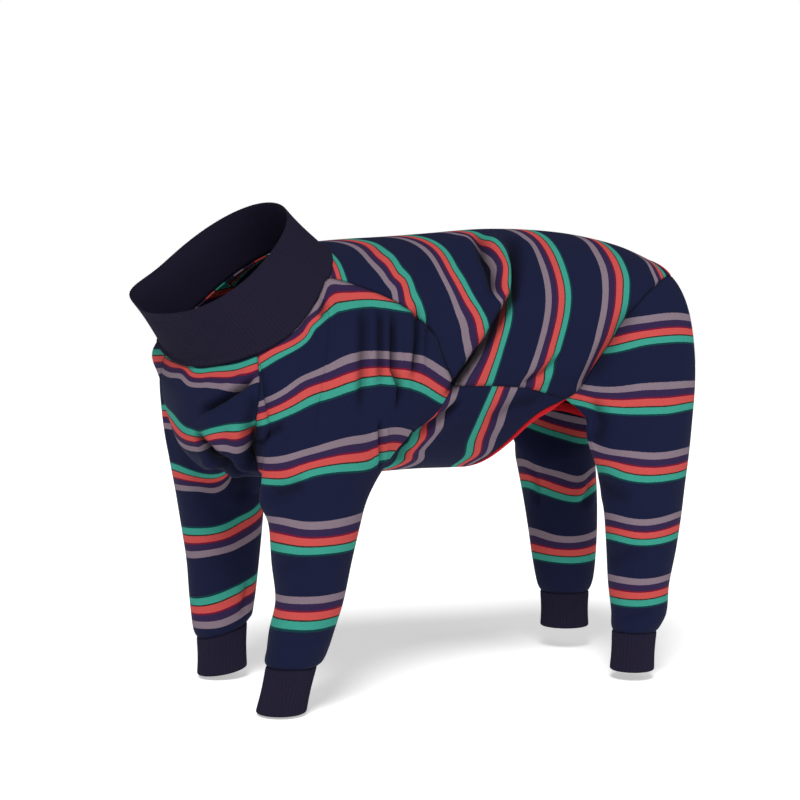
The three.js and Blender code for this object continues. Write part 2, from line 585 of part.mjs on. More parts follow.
// Thickens a panel into one closed body.
function thicken(panel) {
  const { grid, round, thick, ribs } = panel;
  const rows = grid.length;
  const columns = grid[0].length;
  const move = insets(panel);
  const points = [];
  grid.forEach((row, i) => row.forEach((k, j) => {
    const base = k.point.clone();
    if (i === 0 || i === rows - 1 || (!round && (j === 0 || j === columns - 1))) base.add(move.get(k));
    const out = thick / 2 + (ribs && j % 2 ? RIB_RELIEF : 0);
    points.push(base.clone().addScaledVector(k.normal, out), base.clone().addScaledVector(k.normal, -thick / 2));
  }));
  const outer = (i, j) => 2 * (i * columns + (round ? j % columns : j));
  const faces = [];
  const quad = (a, b, c, d) => faces.push(a, b, c, a, c, d);
  const lastColumn = round ? columns : columns - 1;
  for (let i = 0; i < rows - 1; i += 1) {
    for (let j = 0; j < lastColumn; j += 1) {
      quad(outer(i, j), outer(i + 1, j), outer(i + 1, j + 1), outer(i, j + 1));
      quad(outer(i, j) + 1, outer(i, j + 1) + 1, outer(i + 1, j + 1) + 1, outer(i + 1, j) + 1);
    }
  }
  // The edge between two knots is split the same way in both panels that meet there.
  const knots = grid.flat();
  const edge = (a, b) => {
    if (knots[a / 2].count < knots[b / 2].count) quad(a, b, b + 1, a + 1);
    else quad(b, b + 1, a + 1, a);
  };
  for (let j = 0; j < lastColumn; j += 1) {
    edge(outer(0, j), outer(0, j + 1));
    edge(outer(rows - 1, j + 1), outer(rows - 1, j));
  }
  for (let i = 0; !round && i < rows - 1; i += 1) {
    edge(outer(i + 1, 0), outer(i, 0));
    edge(outer(i, columns - 1), outer(i + 1, columns - 1));
  }
  let volume = 0;
  for (let f = 0; f < faces.length; f += 3) {
    const [a, b, c] = [points[faces[f]], points[faces[f + 1]], points[faces[f + 2]]];
    volume += a.dot(b.clone().cross(c));
  }
  if (volume < 0) faces.reverse();
  const geometry = new THREE.BufferGeometry();
  geometry.setAttribute('position', new THREE.Float32BufferAttribute(points.flatMap((p) => [p.x, p.y, p.z]), 3));
  geometry.setIndex(faces);
  geometry.computeVertexNormals();
  return geometry;
}

// The origin is on the inner face of the back, at its middle.
const ORIGIN = bodyPoint(0.5, 0).addScaledVector(bodyNormal(0.5, 0), -JERSEY / 2);

const garment = new THREE.Group();
garment.name = 'four_leg_jumpsuit';
panels.forEach((panel) => {
  const material = new THREE.MeshStandardMaterial({ color: panel.colour, roughness: 0.9, metalness: 0 });
  const mesh = new THREE.Mesh(thicken(panel).translate(-ORIGIN.x, 0, -ORIGIN.z), material);
  mesh.name = panel.name;
  garment.add(mesh);
});

export default garment;
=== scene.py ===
# Striped four-legged jumpsuit in stretch jersey, in the form it has when worn
import bpy
import numpy as np
from mathutils import Matrix, Vector


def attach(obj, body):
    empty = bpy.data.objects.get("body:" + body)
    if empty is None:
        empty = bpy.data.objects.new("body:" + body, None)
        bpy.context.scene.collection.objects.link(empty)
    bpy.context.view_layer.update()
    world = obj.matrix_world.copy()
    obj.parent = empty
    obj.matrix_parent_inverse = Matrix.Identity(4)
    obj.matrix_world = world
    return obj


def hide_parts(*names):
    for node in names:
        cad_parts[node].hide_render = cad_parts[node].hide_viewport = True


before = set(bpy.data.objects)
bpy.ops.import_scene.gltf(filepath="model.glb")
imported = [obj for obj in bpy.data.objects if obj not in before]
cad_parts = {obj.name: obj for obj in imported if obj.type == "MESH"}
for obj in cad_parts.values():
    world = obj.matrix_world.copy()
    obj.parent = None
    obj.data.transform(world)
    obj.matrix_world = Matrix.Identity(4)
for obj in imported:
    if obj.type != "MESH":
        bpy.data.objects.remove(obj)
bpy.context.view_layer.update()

# Sizes of the garment in millimetres, in the same frame as the solids before they are moved to the origin
bodyLength, bodyDepth, bodyWidth = 294, 200, 168
originX, originZ = 129.676, 198.467
alongSpan, roundSpan = 1.4 * bodyLength, 0.6 * bodyWidth
jerseyWall, ribWall, seamGap = 1.6, 2.2, 0.1
origin = np.array([originX, 0, originZ])

# How finely each seam and panel is cut into cells
fine = 8
steps = {"raglan": 11 * fine, "chest": 15 * fine, "flank": 4 * fine, "hip": 8 * fine, "neckSide": 5 * fine,
         "acrossBack": 14 * fine, "acrossBelly": 12 * fine, "thighEdge": 16 * fine}


def hermite(u, p, q, m0, m1):
    return ((2 * u**3 - 3 * u**2 + 1) * p + (3 * u**2 - 2 * u**3) * q
            + (u**3 - 2 * u**2 + u) * m0 + (u**3 - u**2) * m1)


def unit(v):
    return v / np.maximum(np.linalg.norm(v, axis=-1, keepdims=True), 1e-12)


def smoothstep(v, low, high):
    u = np.clip((v - low) / (high - low), 0, 1)
    return u * u * (3 - 2 * u)


def closeLoop(rows):
    return np.concatenate([rows, rows[:1]])


def closeRound(grid):
    return np.concatenate([grid, grid[:, :1]], 1)


# Distance run along the rows from the first one, for each column
def runAlong(rows):
    step = np.linalg.norm(np.diff(rows, axis=0), axis=-1)
    return np.concatenate([0 * step[:1], np.cumsum(step, 0)])


def loopLength(line):
    return np.linalg.norm(np.diff(closeLoop(line), axis=0), axis=1).sum()


# A smooth curve through rows of numbers, read along their first column
def curve(rows):
    rows = np.array(rows, float)
    place, values = rows[:, 0], rows[:, 1:]
    low, high = np.maximum(np.arange(len(rows)) - 1, 0), np.minimum(np.arange(len(rows)) + 1, len(rows) - 1)
    slope = (values[high] - values[low]) / (place[high] - place[low])[:, None]

    def read(at):
        at = np.asarray(at, float)
        k = np.clip(np.searchsorted(place, at, side="left") - 1, 0, len(rows) - 2)
        h = (place[k + 1] - place[k])[..., None]
        u = np.clip((at - place[k])[..., None] / h, 0, 1)
        return hermite(u, values[k], values[k + 1], h * slope[k], h * slope[k + 1])
    return read


# Slanted body sections: share along, back x and z, underside x and z, half width, widest height,
# roundness above and below, sideways offset, turn in degrees
bodySection = curve([
    [0.00, 0.000, 0.930, -0.361, 0.450, 0.393, 0.42, 2.0, 2.5, 0.024, 22],
    [0.08, 0.061, 0.945, -0.395, 0.310, 0.452, 0.43, 2.1, 2.6, 0.024, 22],
    [0.18, 0.143, 0.962, -0.395, 0.150, 0.488, 0.46, 2.2, 2.5, 0.018, 19],
    [0.30, 0.238, 0.975, -0.293, 0.030, 0.500, 0.50, 2.2, 2.3, 0.012, 13],
    [0.42, 0.347, 0.985, -0.027, 0.005, 0.500, 0.50, 2.2, 2.2, 0.000, 6],
    [0.54, 0.490, 1.000, 0.279, 0.020, 0.488, 0.48, 2.2, 2.1, 0.000, 0],
    [0.66, 0.633, 1.003, 0.517, 0.050, 0.458, 0.47, 2.2, 2.1, 0.000, 0],
    [0.78, 0.769, 0.990, 0.714, 0.130, 0.440, 0.50, 2.2, 2.1, 0.000, 0],
    [0.90, 0.898, 0.953, 0.925, 0.250, 0.452, 0.50, 2.2, 2.1, 0.000, 0],
    [1.00, 1.000, 0.898, 1.061, 0.330, 0.440, 0.50, 2.1, 2.1, 0.000, 0],
])


# A point of the body's smooth surface: around is in degrees, 0 on the back, 90 on the left, 180 below
def bodySurface(at, around):
    s = np.moveaxis(bodySection(at), -1, 0)
    backX, backZ, underX, underZ, half, widest, roundBack, roundUnder, aside, turn = s
    angle = np.radians(around)
    power = 2 / np.where(np.cos(angle) >= 0, roundBack, roundUnder)
    bend = lambda v: np.sign(v) * np.abs(v) ** power
    up = bend(np.cos(angle))
    height = np.where(up >= 0, widest + (1 - widest) * up, widest * (1 + up))
    middle = bodyLength * (backX + underX) / 2
    x = bodyLength * (underX + (backX - underX) * height) - middle
    y = -bodyWidth * half * bend(np.sin(angle))
    c, n = np.cos(np.radians(turn)), np.sin(np.radians(turn))
    return np.stack([middle + x * c - y * n, bodyWidth * aside + x * n + y * c,
                     bodyDepth * (underZ + (backZ - underZ) * height)], -1)


def bodyFacing(at, around):
    along = bodySurface(np.minimum(at + 0.01, 1), around) - bodySurface(np.maximum(at - 0.01, 0), around)
    across = bodySurface(at, around + 2) - bodySurface(at, around - 2)
    return unit(np.cross(across, along))


# Seams of the wearer's left side on the body: share along and degrees around
seamLines = {
    "raglan": [[0, 62], [0.11, 62], [0.28, 69], [0.39, 80], [0.45, 91], [0.497, 105]],
    "chest": [[0, 133], [0.09, 132], [0.18, 138], [0.25, 148], [0.31, 157], [0.37, 162], [0.42, 159],
              [0.457, 146], [0.478, 127], [0.497, 105]],
    "flank": [[0.497, 105], [0.59, 106], [0.645, 109], [0.715, 119]],
    "hip": [[0.715, 119], [0.753, 115], [0.785, 103], [0.82, 88], [0.868, 75], [0.925, 62], [1, 46]],
    "bellyEdge": [[0.60, 180], [0.615, 165], [0.635, 142], [0.662, 125], [0.715, 119]],
}
# Free edge of the left hind leg: shares of body length, width and depth
thighEdgeLine = [
    [0.695, -0.335, 0.240], [0.785, -0.278, 0.195], [0.885, -0.222, 0.165], [0.990, -0.190, 0.190],
    [1.065, -0.190, 0.310], [1.095, -0.205, 0.500], [1.070, -0.235, 0.690],
]


# Even places along a smooth line through a few points
def spaced(points, count, scale):
    points, scale = np.array(points, float), np.array(scale, float)
    last = len(points) - 1
    u = np.arange(16)[:, None] / 16
    runs = []
    for k in range(last):
        near = [points[min(max(k + d, 0), last)] for d in (-1, 0, 1, 2)]
        runs.append(hermite(u, near[1], near[2], (near[2] - near[0]) / 2, (near[3] - near[1]) / 2))
    line = np.concatenate(runs + [points[-1:]])
    run = np.concatenate([[0], np.cumsum(np.linalg.norm(np.diff(line, axis=0) * scale, axis=1))])
    goal = run[-1] * np.arange(count + 1) / count
    return np.stack([np.interp(goal, run, line[:, c]) for c in range(line.shape[1])], 1)


# Knots are points of the cloth's middle surface, kept once where panels meet
knots = {"points": [], "places": [], "count": 0}


def addKnots(points, places=None):
    points = np.asarray(points, float)
    flat = points.reshape(-1, 3)
    knots["points"].append(flat)
    knots["places"].append(np.full((len(flat), 2), np.nan) if places is None else places.reshape(-1, 2))
    ids = np.arange(knots["count"], knots["count"] + len(flat)).reshape(points.shape[:-1])
    knots["count"] += len(flat)
    return ids


def bodyKnots(places):
    return addKnots(bodySurface(places[..., 0], places[..., 1]), places)


def pointOf(ids):
    return np.concatenate(knots["points"])[ids]


def placeOf(ids):
    return np.concatenate(knots["places"])[ids]


# Millimetres for one unit of a place on the body: share along, and degrees around
bodyScale = np.array([alongSpan, np.radians(roundSpan)])


# Seam knots of one side: side 1 is the wearer's left and -1 the right
def sideSeams(side):
    def line(rows, count):
        places = spaced(rows, count, bodyScale)
        if side < 0:
            places[:, 1] = 360 - places[:, 1]
        return bodyKnots(places)
    s = {name: line(seamLines[name], steps[name]) for name in ("raglan", "chest", "flank", "hip")}
    s["bellyEdge"] = line(seamLines["bellyEdge"], steps["acrossBelly"] // 2)
    s["neckSide"] = line([seamLines["raglan"][0], seamLines["chest"][0]], steps["neckSide"])
    s["chest"][-1] = s["flank"][0] = s["raglan"][-1]
    s["hip"][0] = s["bellyEdge"][-1] = s["flank"][-1]
    s["neckSide"][0], s["neckSide"][-1] = s["raglan"][0], s["chest"][0]
    size = np.array([bodyLength, side * bodyWidth, bodyDepth])
    ends = pointOf(s["hip"][[0, -1]]) / size
    edge = spaced([ends[0], *thighEdgeLine, ends[1]], steps["thighEdge"], np.abs(size))
    s["thighEdge"] = addKnots(edge * size)
    s["thighEdge"][0], s["thighEdge"][-1] = s["hip"][0], s["hip"][-1]
    return s


left, right = sideSeams(1), sideSeams(-1)
right["bellyEdge"][0] = left["bellyEdge"][0]


# Fills a body panel between its side seams, bowed towards the neck and taking up the rear edge at the end
def bodyPanel(sideLeft, sideRight, front, rear, bow, rearRows, turnBack):
    back = np.array([0, turnBack])
    a, b = placeOf(sideLeft)[:, None], placeOf(sideRight)[:, None] - back
    rows, columns = len(sideLeft) - 1, len(front) - 1
    i, v = np.arange(rows + 1)[:, None, None], (np.arange(columns + 1) / columns)[None, :, None]
    bowed = np.sin(np.pi * np.minimum(i / (rows - rearRows), 1)) * np.sin(np.pi * v) ** 2
    rearPlace = placeOf(rear)[None]
    rearPlace = np.where((rearPlace[..., 1:] > 180) & (turnBack > 0), rearPlace - back, rearPlace)
    late = np.maximum(0, (i - rows + rearRows) / rearRows)
    straightRear = rearPlace[:, :1] + (rearPlace[:, -1:] - rearPlace[:, :1]) * v
    places = a + (b - a) * v - np.array([bow, 0]) * bowed + late * (rearPlace - straightRear)
    grid = bodyKnots(places)
    grid[:, 0], grid[:, -1], grid[0], grid[-1] = sideLeft, sideRight, front, rear
    return grid


def acrossBody(start, end, count, turnBack=0):
    a, b = placeOf(start), placeOf(end) - [0, turnBack]
    ids = bodyKnots(a + (b - a) * (np.arange(count + 1) / count)[:, None])
    ids[0], ids[-1] = start, end
    return ids


chain = lambda *lines: np.concatenate([lines[0]] + [line[1:] for line in lines[1:]])
bellyFront = acrossBody(left["chest"][0], right["chest"][0], steps["acrossBelly"])
bellyRear = chain(left["bellyEdge"][::-1], right["bellyEdge"])
backFront = acrossBody(left["raglan"][0], right["raglan"][0], steps["acrossBack"], 360)
backRear = acrossBody(left["hip"][-1], right["hip"][-1], steps["acrossBack"], 360)
backSides = [chain(s["raglan"], s["flank"], s["hip"]) for s in (left, right)]
bellySides = [chain(s["chest"], s["flank"]) for s in (left, right)]
backGrid = bodyPanel(*backSides, backFront, backRear, 0, steps["hip"], 360)
bellyGrid = bodyPanel(*bellySides, bellyFront, bellyRear, 0.05, steps["flank"], 0)

# Legs as level rings: share down, middle x and outward, half length and half width as shares of the girth
legRings = {
    "sleeve_left": curve([
        [0.164, -0.096, -0.393, 0.440, 0.368], [0.397, -0.109, -0.399, 0.374, 0.338],
        [0.603, -0.117, -0.405, 0.310, 0.315], [0.753, -0.138, -0.405, 0.298, 0.290],
        [0.850, -0.150, -0.405, 0.280, 0.268], [0.905, -0.160, -0.405, 0.264, 0.252],
        [0.930, -0.166, -0.405, 0.222, 0.226]]),
    "sleeve_right": curve([
        [0.130, -0.204, 0.417, 0.450, 0.400], [0.336, -0.197, 0.435, 0.405, 0.375],
        [0.507, -0.194, 0.440, 0.368, 0.338], [0.700, -0.196, 0.440, 0.335, 0.312],
        [0.850, -0.197, 0.446, 0.300, 0.280], [0.910, -0.197, 0.446, 0.280, 0.262],
        [0.945, -0.197, 0.446, 0.245, 0.238]]),
    "hind_leg_left": curve([
        [0.000, 0.892, -0.411, 0.482, 0.375], [0.235, 0.892, -0.420, 0.420, 0.340],
        [0.460, 0.882, -0.423, 0.359, 0.312], [0.700, 0.870, -0.423, 0.296, 0.280],
        [0.885, 0.871, -0.423, 0.268, 0.245], [0.960, 0.862, -0.423, 0.238, 0.226],
        [1.000, 0.856, -0.423, 0.204, 0.202]]),
    "hind_leg_right": curve([
        [0.000, 0.864, 0.369, 0.425, 0.390], [0.235, 0.882, 0.378, 0.398, 0.372],
        [0.460, 0.895, 0.387, 0.372, 0.345], [0.660, 0.902, 0.393, 0.342, 0.320],
        [0.800, 0.905, 0.393, 0.312, 0.290], [0.865, 0.905, 0.393, 0.285, 0.268],
        [0.905, 0.905, 0.393, 0.250, 0.242]]),
}
# Side 1 is the wearer's left. Length, girth and the rise of the cuff seam's rear are in millimetres, the ends
# are shares down between seam and cuff, and cloth is the millimetres of cloth round the leg.
legs = {
    "sleeve_left": {"side": 1, "length": 146, "girth": 80, "ends": (0.164, 0.93), "rise": 0, "cloth": 240},
    "sleeve_right": {"side": -1, "length": 146, "girth": 80, "ends": (0.13, 0.945), "rise": 12, "cloth": 240},
    "hind_leg_left": {"side": 1, "length": 132, "girth": 84, "ends": (0.0, 1.0), "rise": 0, "cloth": 216},
    "hind_leg_right": {"side": -1, "length": 132, "girth": 84, "ends": (0.0, 0.905), "rise": 0, "cloth": 216},
}


def legRing(name, down, turns):
    leg = legs[name]
    x, out, long, wide = np.moveaxis(legRings[name](down), -1, 0)
    angle = np.radians(turns)
    rise = leg["rise"] * smoothstep(np.asarray(down), 0.8, 0.94) * (0.5 + 0.5 * np.cos(angle))
    return np.stack(np.broadcast_arrays(
        bodyLength * x + leg["girth"] * long * np.cos(angle),
        bodyWidth * out + leg["side"] * leg["girth"] * wide * np.sin(angle),
        -leg["length"] * down + rise), -1)


# Reads every step-th row of a closed loop and runs evenly between them
def easeRound(rows, step):
    k = np.arange(len(rows))
    low, share = k // step * step, (k % step / step)[:, None]
    eased = rows[low] * (1 - share) + rows[(low + step) % len(rows)] * share
    for shift in (1, 2, 3):
        eased = (np.roll(eased, shift, 0) + 2 * eased + np.roll(eased, -shift, 0)) / 4
    return unit(eased)


# How a leg panel leaves its seam (bulge) and meets its rings (fullness), and its rows of cells in each part
legFills = {
    "sleeve": {"bulge": 1.05, "fullness": 0.75, "topRows": 48, "lowRows": 56},
    "hind": {"bulge": 1.0, "fullness": 0.8, "topRows": 48, "lowRows": 52},
    "nextRing": 0.12, "closerRows": 1.35,
}


# A leg panel: from its loop of seam knots over the shoulder or haunch, then down the rings
def legPanel(name, fill, loop, turns, follow, square):
    first, last = legs[name]["ends"]
    topRows, lowRows = fill["topRows"], fill["lowRows"]
    topRing = legRing(name, first, turns)
    nextRing = legRing(name, first + legFills["nextRing"], turns)
    start, place = pointOf(loop), placeOf(loop)
    span = topRing - start
    reach = np.linalg.norm(span, axis=1, keepdims=True)
    outward = start - topRing.mean(0)
    outward[:, 2] = 0
    onBody = ~np.isnan(place[:, 0])
    facing = unit(outward)
    facing[onBody] = bodyFacing(place[onBody, 0], place[onBody, 1])
    tangent = np.roll(start, -fine, 0) - np.roll(start, fine, 0)
    away = -legs[name]["side"] * unit(np.cross(facing, tangent))
    leave = unit(span)
    leave = unit(leave - follow[:, None] * (leave * facing).sum(1, keepdims=True) * facing)
    leave = easeRound(unit(leave + (away - leave) * square[:, None]), fine)
    arrive = unit(nextRing - topRing)
    u = (np.arange(1, topRows + 1) / topRows)[:, None, None]
    upper = hermite(u, start, topRing, leave * reach * fill["bulge"], arrive * reach * fill["fullness"])
    toGo = 1 - np.arange(1, lowRows + 1) / lowRows
    down = first + (last - first) * (1 - toGo ** legFills["closerRows"])
    lower = legRing(name, down[:, None], turns[None])
    return np.vstack([loop[None], addKnots(np.concatenate([upper, lower]))])


def turnsBetween(corners, counts):
    pairs = zip(corners, corners[1:], counts)
    return np.concatenate([np.linspace(a, b, n, endpoint=False) for a, b, n in pairs])


def sleeveGrid(name, s):
    loop = np.concatenate([s["chest"][:0:-1], s["neckSide"][:0:-1], s["raglan"][:-1]])
    turns = turnsBetween([-15, 185, 235, 345], [steps["chest"], steps["neckSide"], steps["raglan"]])
    around = np.abs(placeOf(loop)[:, 1])
    under = smoothstep(np.minimum(around, 360 - around), 126, 160)
    return legPanel(name, legFills["sleeve"], loop, turns, 1 - 0.9 * under, 0.25 * (1 - under))


def hindGrid(name, s):
    loop = np.concatenate([s["hip"][:-1], s["thighEdge"][:0:-1]])
    turns = turnsBetween([180, 335, 540], [steps["hip"], steps["thighEdge"]])
    onHip = np.arange(len(loop)) <= steps["hip"]
    return legPanel(name, legFills["hind"], loop, turns, np.where(onHip, 1, 0.5), np.where(onHip, 0.3, 0.6))


grids = {"back_panel": backGrid, "belly_panel": bellyGrid}
for name, leg in legs.items():
    fillLeg = sleeveGrid if name.startswith("sleeve") else hindGrid
    grids[name] = fillLeg(name, left if leg["side"] > 0 else right)


# Stripes: one repeat of the cloth is 53 mm, and each mark gives the place of one stripe line.
# Marks are [millimetres of cloth, first place, second place], read as a smooth surface between them.
repeat = 53
stripeMark = {"mauve": 2.8, "coral": 14.3, "green": 20.5, "edge": 26.0, "plain": 39.5}


def stripeField(marks, scale, smooth=0.02):
    rows = np.array([[repeat * number + stripeMark[kind], a, b]
                     for number, kind, places in marks for a, b in places])
    value, place = rows[:, 0], rows[:, 1:] * scale
    span = np.ptp(place, axis=0).max()
    centre = place.mean(0)
    place = (place - centre) / span

    def kernel(p):
        r2 = ((p[:, None] - place[None]) ** 2).sum(-1)
        return 0.5 * r2 * np.log(np.maximum(r2, 1e-12))
    n = len(place)
    base = np.hstack([np.ones((n, 1)), place])
    matrix = np.block([[kernel(place) + smooth / span * np.eye(n), base], [base.T, np.zeros((3, 3))]])
    weights = np.linalg.solve(matrix, np.concatenate([value, np.zeros(3)]))

    def read(places):
        flat = (places.reshape(-1, 2) * scale - centre) / span
        parts = np.array_split(flat, max(len(flat) // 4000, 1))  # keeps the use of memory low
        found = np.concatenate([kernel(part) @ weights[:n] for part in parts])
        return (found + weights[n] + flat @ weights[n + 1:]).reshape(places.shape[:-1])
    return read


points = np.concatenate(knots["points"])
places = np.concatenate(knots["places"])
print("panels laid out on", len(points), "points")

# Stripe lines of the back panel, one row a line: number of the repeat, which stripe, and places along it as
# share of the body's length and degrees round from the spine. Ahead of the tuck and behind it they differ.
backStripes = {
    "ahead": [
        (0, "green", [[0.04, 47], [0.08, 61]]),
        (1, "mauve", [[0.115, 22], [0.15, 42], [0.205, 54], [0.265, 63]]),
        (1, "coral", [[0.16, 19], [0.186, 38], [0.258, 55], [0.324, 69]]),
        (1, "green", [[0.19, 22], [0.231, 40], [0.297, 56], [0.352, 70], [0.377, 77]]),
        (2, "mauve", [[0.315, 25], [0.36, 44], [0.411, 62], [0.453, 75], [0.482, 85], [0.50, 92]]),
        (2, "green", [[0.388, 35], [0.42, 51], [0.457, 63], [0.49, 72], [0.507, 77]]),
        (3, "mauve", [[0.455, 21], [0.492, 38], [0.515, 51], [0.526, 67]]),
        (3, "green", [[0.50, 21], [0.522, 32], [0.538, 45], [0.554, 65]]),
        (4, "mauve", [[0.603, 20], [0.617, 34]])],
    "behind": [
        (2, "mauve", [[0.315, 25], [0.36, 44]])],
    "right": [
        (0, "green", [[0.04, 47], [0.08, 61]]),
        (1, "mauve", [[0.11, 22], [0.137, 41], [0.202, 56], [0.255, 67]]),
        (1, "green", [[0.19, 20], [0.212, 31], [0.27, 49], [0.32, 67], [0.34, 77]]),
        (2, "mauve", [[0.315, 25], [0.35, 44], [0.38, 62], [0.40, 78], [0.405, 92]]),
        (2, "green", [[0.38, 30], [0.41, 51], [0.435, 63], [0.45, 77], [0.452, 92]])],
}
rearStripes = [
    (3, "mauve", [[0.455, 21], [0.492, 38], [0.515, 51], [0.523, 88], [0.508, 101]]),
    (3, "green", [[0.50, 21], [0.522, 32], [0.545, 53], [0.561, 75], [0.557, 88], [0.555, 105]]),
    (4, "mauve", [[0.603, 20], [0.617, 34], [0.635, 55], [0.641, 76], [0.627, 97], [0.617, 106]]),
    (4, "green", [[0.66, 20], [0.682, 52], [0.69, 67], [0.686, 78], [0.668, 97], [0.664, 110]]),
    (5, "mauve", [[0.775, 15], [0.787, 40], [0.787, 64], [0.767, 90], [0.743, 114]]),
    (5, "green", [[0.835, 15], [0.845, 40], [0.844, 59], [0.82, 87]]),
    (6, "mauve", [[0.90, 15], [0.937, 37], [0.929, 51]]),
]
bellyStripes = [
    (2, "green", [[0.006, 208], [0.018, 181], [0.025, 136]]),
    (2, "mauve", [[0.034, 192], [0.048, 173], [0.065, 151]]),
    (1, "green", [[0.15, 181], [0.157, 174], [0.152, 166], [0.156, 153], [0.172, 143]]),
    (1, "mauve", [[0.19, 195], [0.192, 169], [0.208, 158], [0.232, 150]]),
    (0, "plain", [[0.285, 160], [0.30, 170], [0.335, 172], [0.31, 165]]),
    (-1, "green", [[0.483, 137], [0.49, 151], [0.49, 209], [0.483, 223]]),
    (-1, "mauve", [[0.502, 109], [0.504, 124], [0.505, 142], [0.511, 168], [0.521, 192], [0.50, 251]]),
    (-2, "green", [[0.565, 107], [0.568, 133], [0.583, 163], [0.593, 176], [0.586, 200], [0.565, 253]]),
    (-2, "mauve", [[0.60, 108], [0.605, 136], [0.615, 153], [0.615, 207], [0.60, 252]]),
    (-3, "edge", [[0.715, 116], [0.67, 135], [0.64, 160], [0.64, 200], [0.67, 225], [0.715, 244]]),
]
# Stripe lines of the sleeves and hind legs, with places in millimetres along and up from the origin
legStripes = {
    "sleeve_left": [
        (1, "mauve", [[-131, -47], [-141, -47], [-150, -60], [-156, -67]]),
        (1, "coral", [[-111, -58], [-132, -59], [-144, -63], [-167, -86], [-178, -94], [-191, -100]]),
        (1, "green", [[-90, -67], [-113, -64], [-135, -67], [-149, -74], [-162, -84], [-187, -103],
                      [-203, -113]]),
        (2, "mauve", [[-54, -120], [-66, -113], [-80, -106], [-98, -104], [-121, -103], [-152, -112],
                      [-175, -121], [-206, -139]]),
        (2, "green", [[-61, -137], [-75, -130], [-91, -125], [-115, -122], [-154, -132], [-177, -141],
                      [-206, -153]]),
        (3, "mauve", [[-98, -160], [-124, -164], [-142, -166], [-170, -173], [-194, -180], [-203, -180]]),
        (3, "green", [[-115, -180], [-121, -184], [-150, -186], [-171, -189], [-188, -196]]),
        (4, "mauve", [[-132, -224], [-158, -227], [-179, -227], [-192, -224]]),
        (4, "green", [[-138, -245], [-162, -246], [-182, -246]]),
        (5, "mauve", [[-147, -281], [-162, -282], [-192, -283]]),
        (5, "green", [[-153, -300], [-167, -301], [-193, -301]]),
        (5, "plain", [[-160, -330], [-195, -330]])],
    "sleeve_right": [
        (2, "mauve", [[-100, -82], [-150, -96], [-200, -112], [-232, -115]]),
        (1, "mauve", [[-100, -120], [-150, -140], [-200, -158], [-232, -160]]),
        (0, "green", [[-195, -191], [-200, -196], [-213, -199], [-226, -195], [-232, -192]]),
        (0, "mauve", [[-193, -199], [-197, -206], [-205, -211], [-215, -210], [-226, -210]]),
        (-1, "plain", [[-176, -214], [-182, -205], [-188, -196]]),
        (-1, "green", [[-165, -227], [-182, -235], [-199, -243], [-220, -246]]),
        (-1, "mauve", [[-164, -248], [-189, -259], [-205, -263], [-217, -266]]),
        (-2, "green", [[-174, -290], [-189, -296], [-204, -302], [-214, -305]]),
        (-2, "mauve", [[-179, -315], [-196, -322], [-211, -324]])],
    "hind_leg_left": [
        (0, "edge", [[150, -36], [175, -36], [192, -45]]),
        (1, "mauve", [[113, -76], [127, -74], [168, -72]]),
        (1, "green", [[98, -99], [121, -93], [165, -90]]),
        (2, "mauve", [[81, -130], [117, -129], [162, -127]]),
        (2, "green", [[77, -143], [96, -148], [137, -148], [161, -145]]),
        (3, "mauve", [[83, -176], [91, -181], [104, -183], [149, -182]]),
        (3, "green", [[92, -196], [98, -200], [148, -201]]),
        (4, "mauve", [[98, -235], [103, -237], [143, -234]]),
        (4, "green", [[100, -252], [106, -254], [140, -252]]),
        (5, "mauve", [[102, -286], [111, -287], [137, -285]]),
        (5, "green", [[104, -305], [112, -305], [135, -303]])],
    "hind_leg_right": [
        (1, "mauve", [[100, -76], [127, -80], [168, -84]]),
        (2, "mauve", [[110, -156], [147, -164], [158, -167]]),
        (2, "green", [[117, -176], [132, -180]]),
        (3, "mauve", [[89, -199], [94, -203], [112, -209], [133, -213], [147, -206]]),
        (3, "green", [[94, -219], [100, -223], [118, -230], [132, -231], [147, -224]]),
        (4, "mauve", [[104, -263], [110, -266], [154, -265]]),
        (4, "green", [[106, -285], [113, -286], [152, -286]])],
}
# The tuck's line on the back, as degrees around and share along
tuckLine = curve([[30, 0.563], [51, 0.554], [64, 0.551], [72, 0.543], [82, 0.526], [89, 0.509], [103, 0.491]])


# How far a place lies past the tuck, in millimetres
def tuckDistance(place):
    return (place[..., 0] - tuckLine(place[..., 1])[..., 0]) * alongSpan


noTuck = -1000.0  # far ahead of any tuck


# Cloth coordinates of a panel: stripe millimetres, the same behind a tuck, distance past it, and across
def panelCloth(name, ids, grid):
    if name in legs:
        grid = closeRound(grid) - origin
        stripes = stripeField(legStripes[name], 1.0)(grid[..., [0, 2]])
        last = grid.shape[1] - 1
        across = np.broadcast_to(legs[name]["cloth"] * np.arange(last + 1) / last, stripes.shape)
        return stripes, stripes, np.full(stripes.shape, noTuck), across
    place = places[ids].copy()
    if name == "belly_panel":
        stripes = stripeField(bellyStripes, bodyScale)(place)
        return stripes, stripes, np.full(stripes.shape, noTuck), place[..., 1] * bodyScale[1]
    place[..., 1] -= 360 * (place[..., 1] > 180)
    mirrored = np.stack([place[..., 0], np.abs(place[..., 1])], -1)
    ahead = stripeField(backStripes["ahead"], bodyScale)(place)
    behind = stripeField(backStripes["behind"] + rearStripes, bodyScale)(place)
    other = stripeField(backStripes["right"] + rearStripes, bodyScale)(mirrored)
    share = smoothstep(place[..., 1], -12, 12)
    ahead, behind = other + (ahead - other) * share, other + (behind - other) * share
    return ahead, behind, tuckDistance(place), place[..., 1] * bodyScale[1]


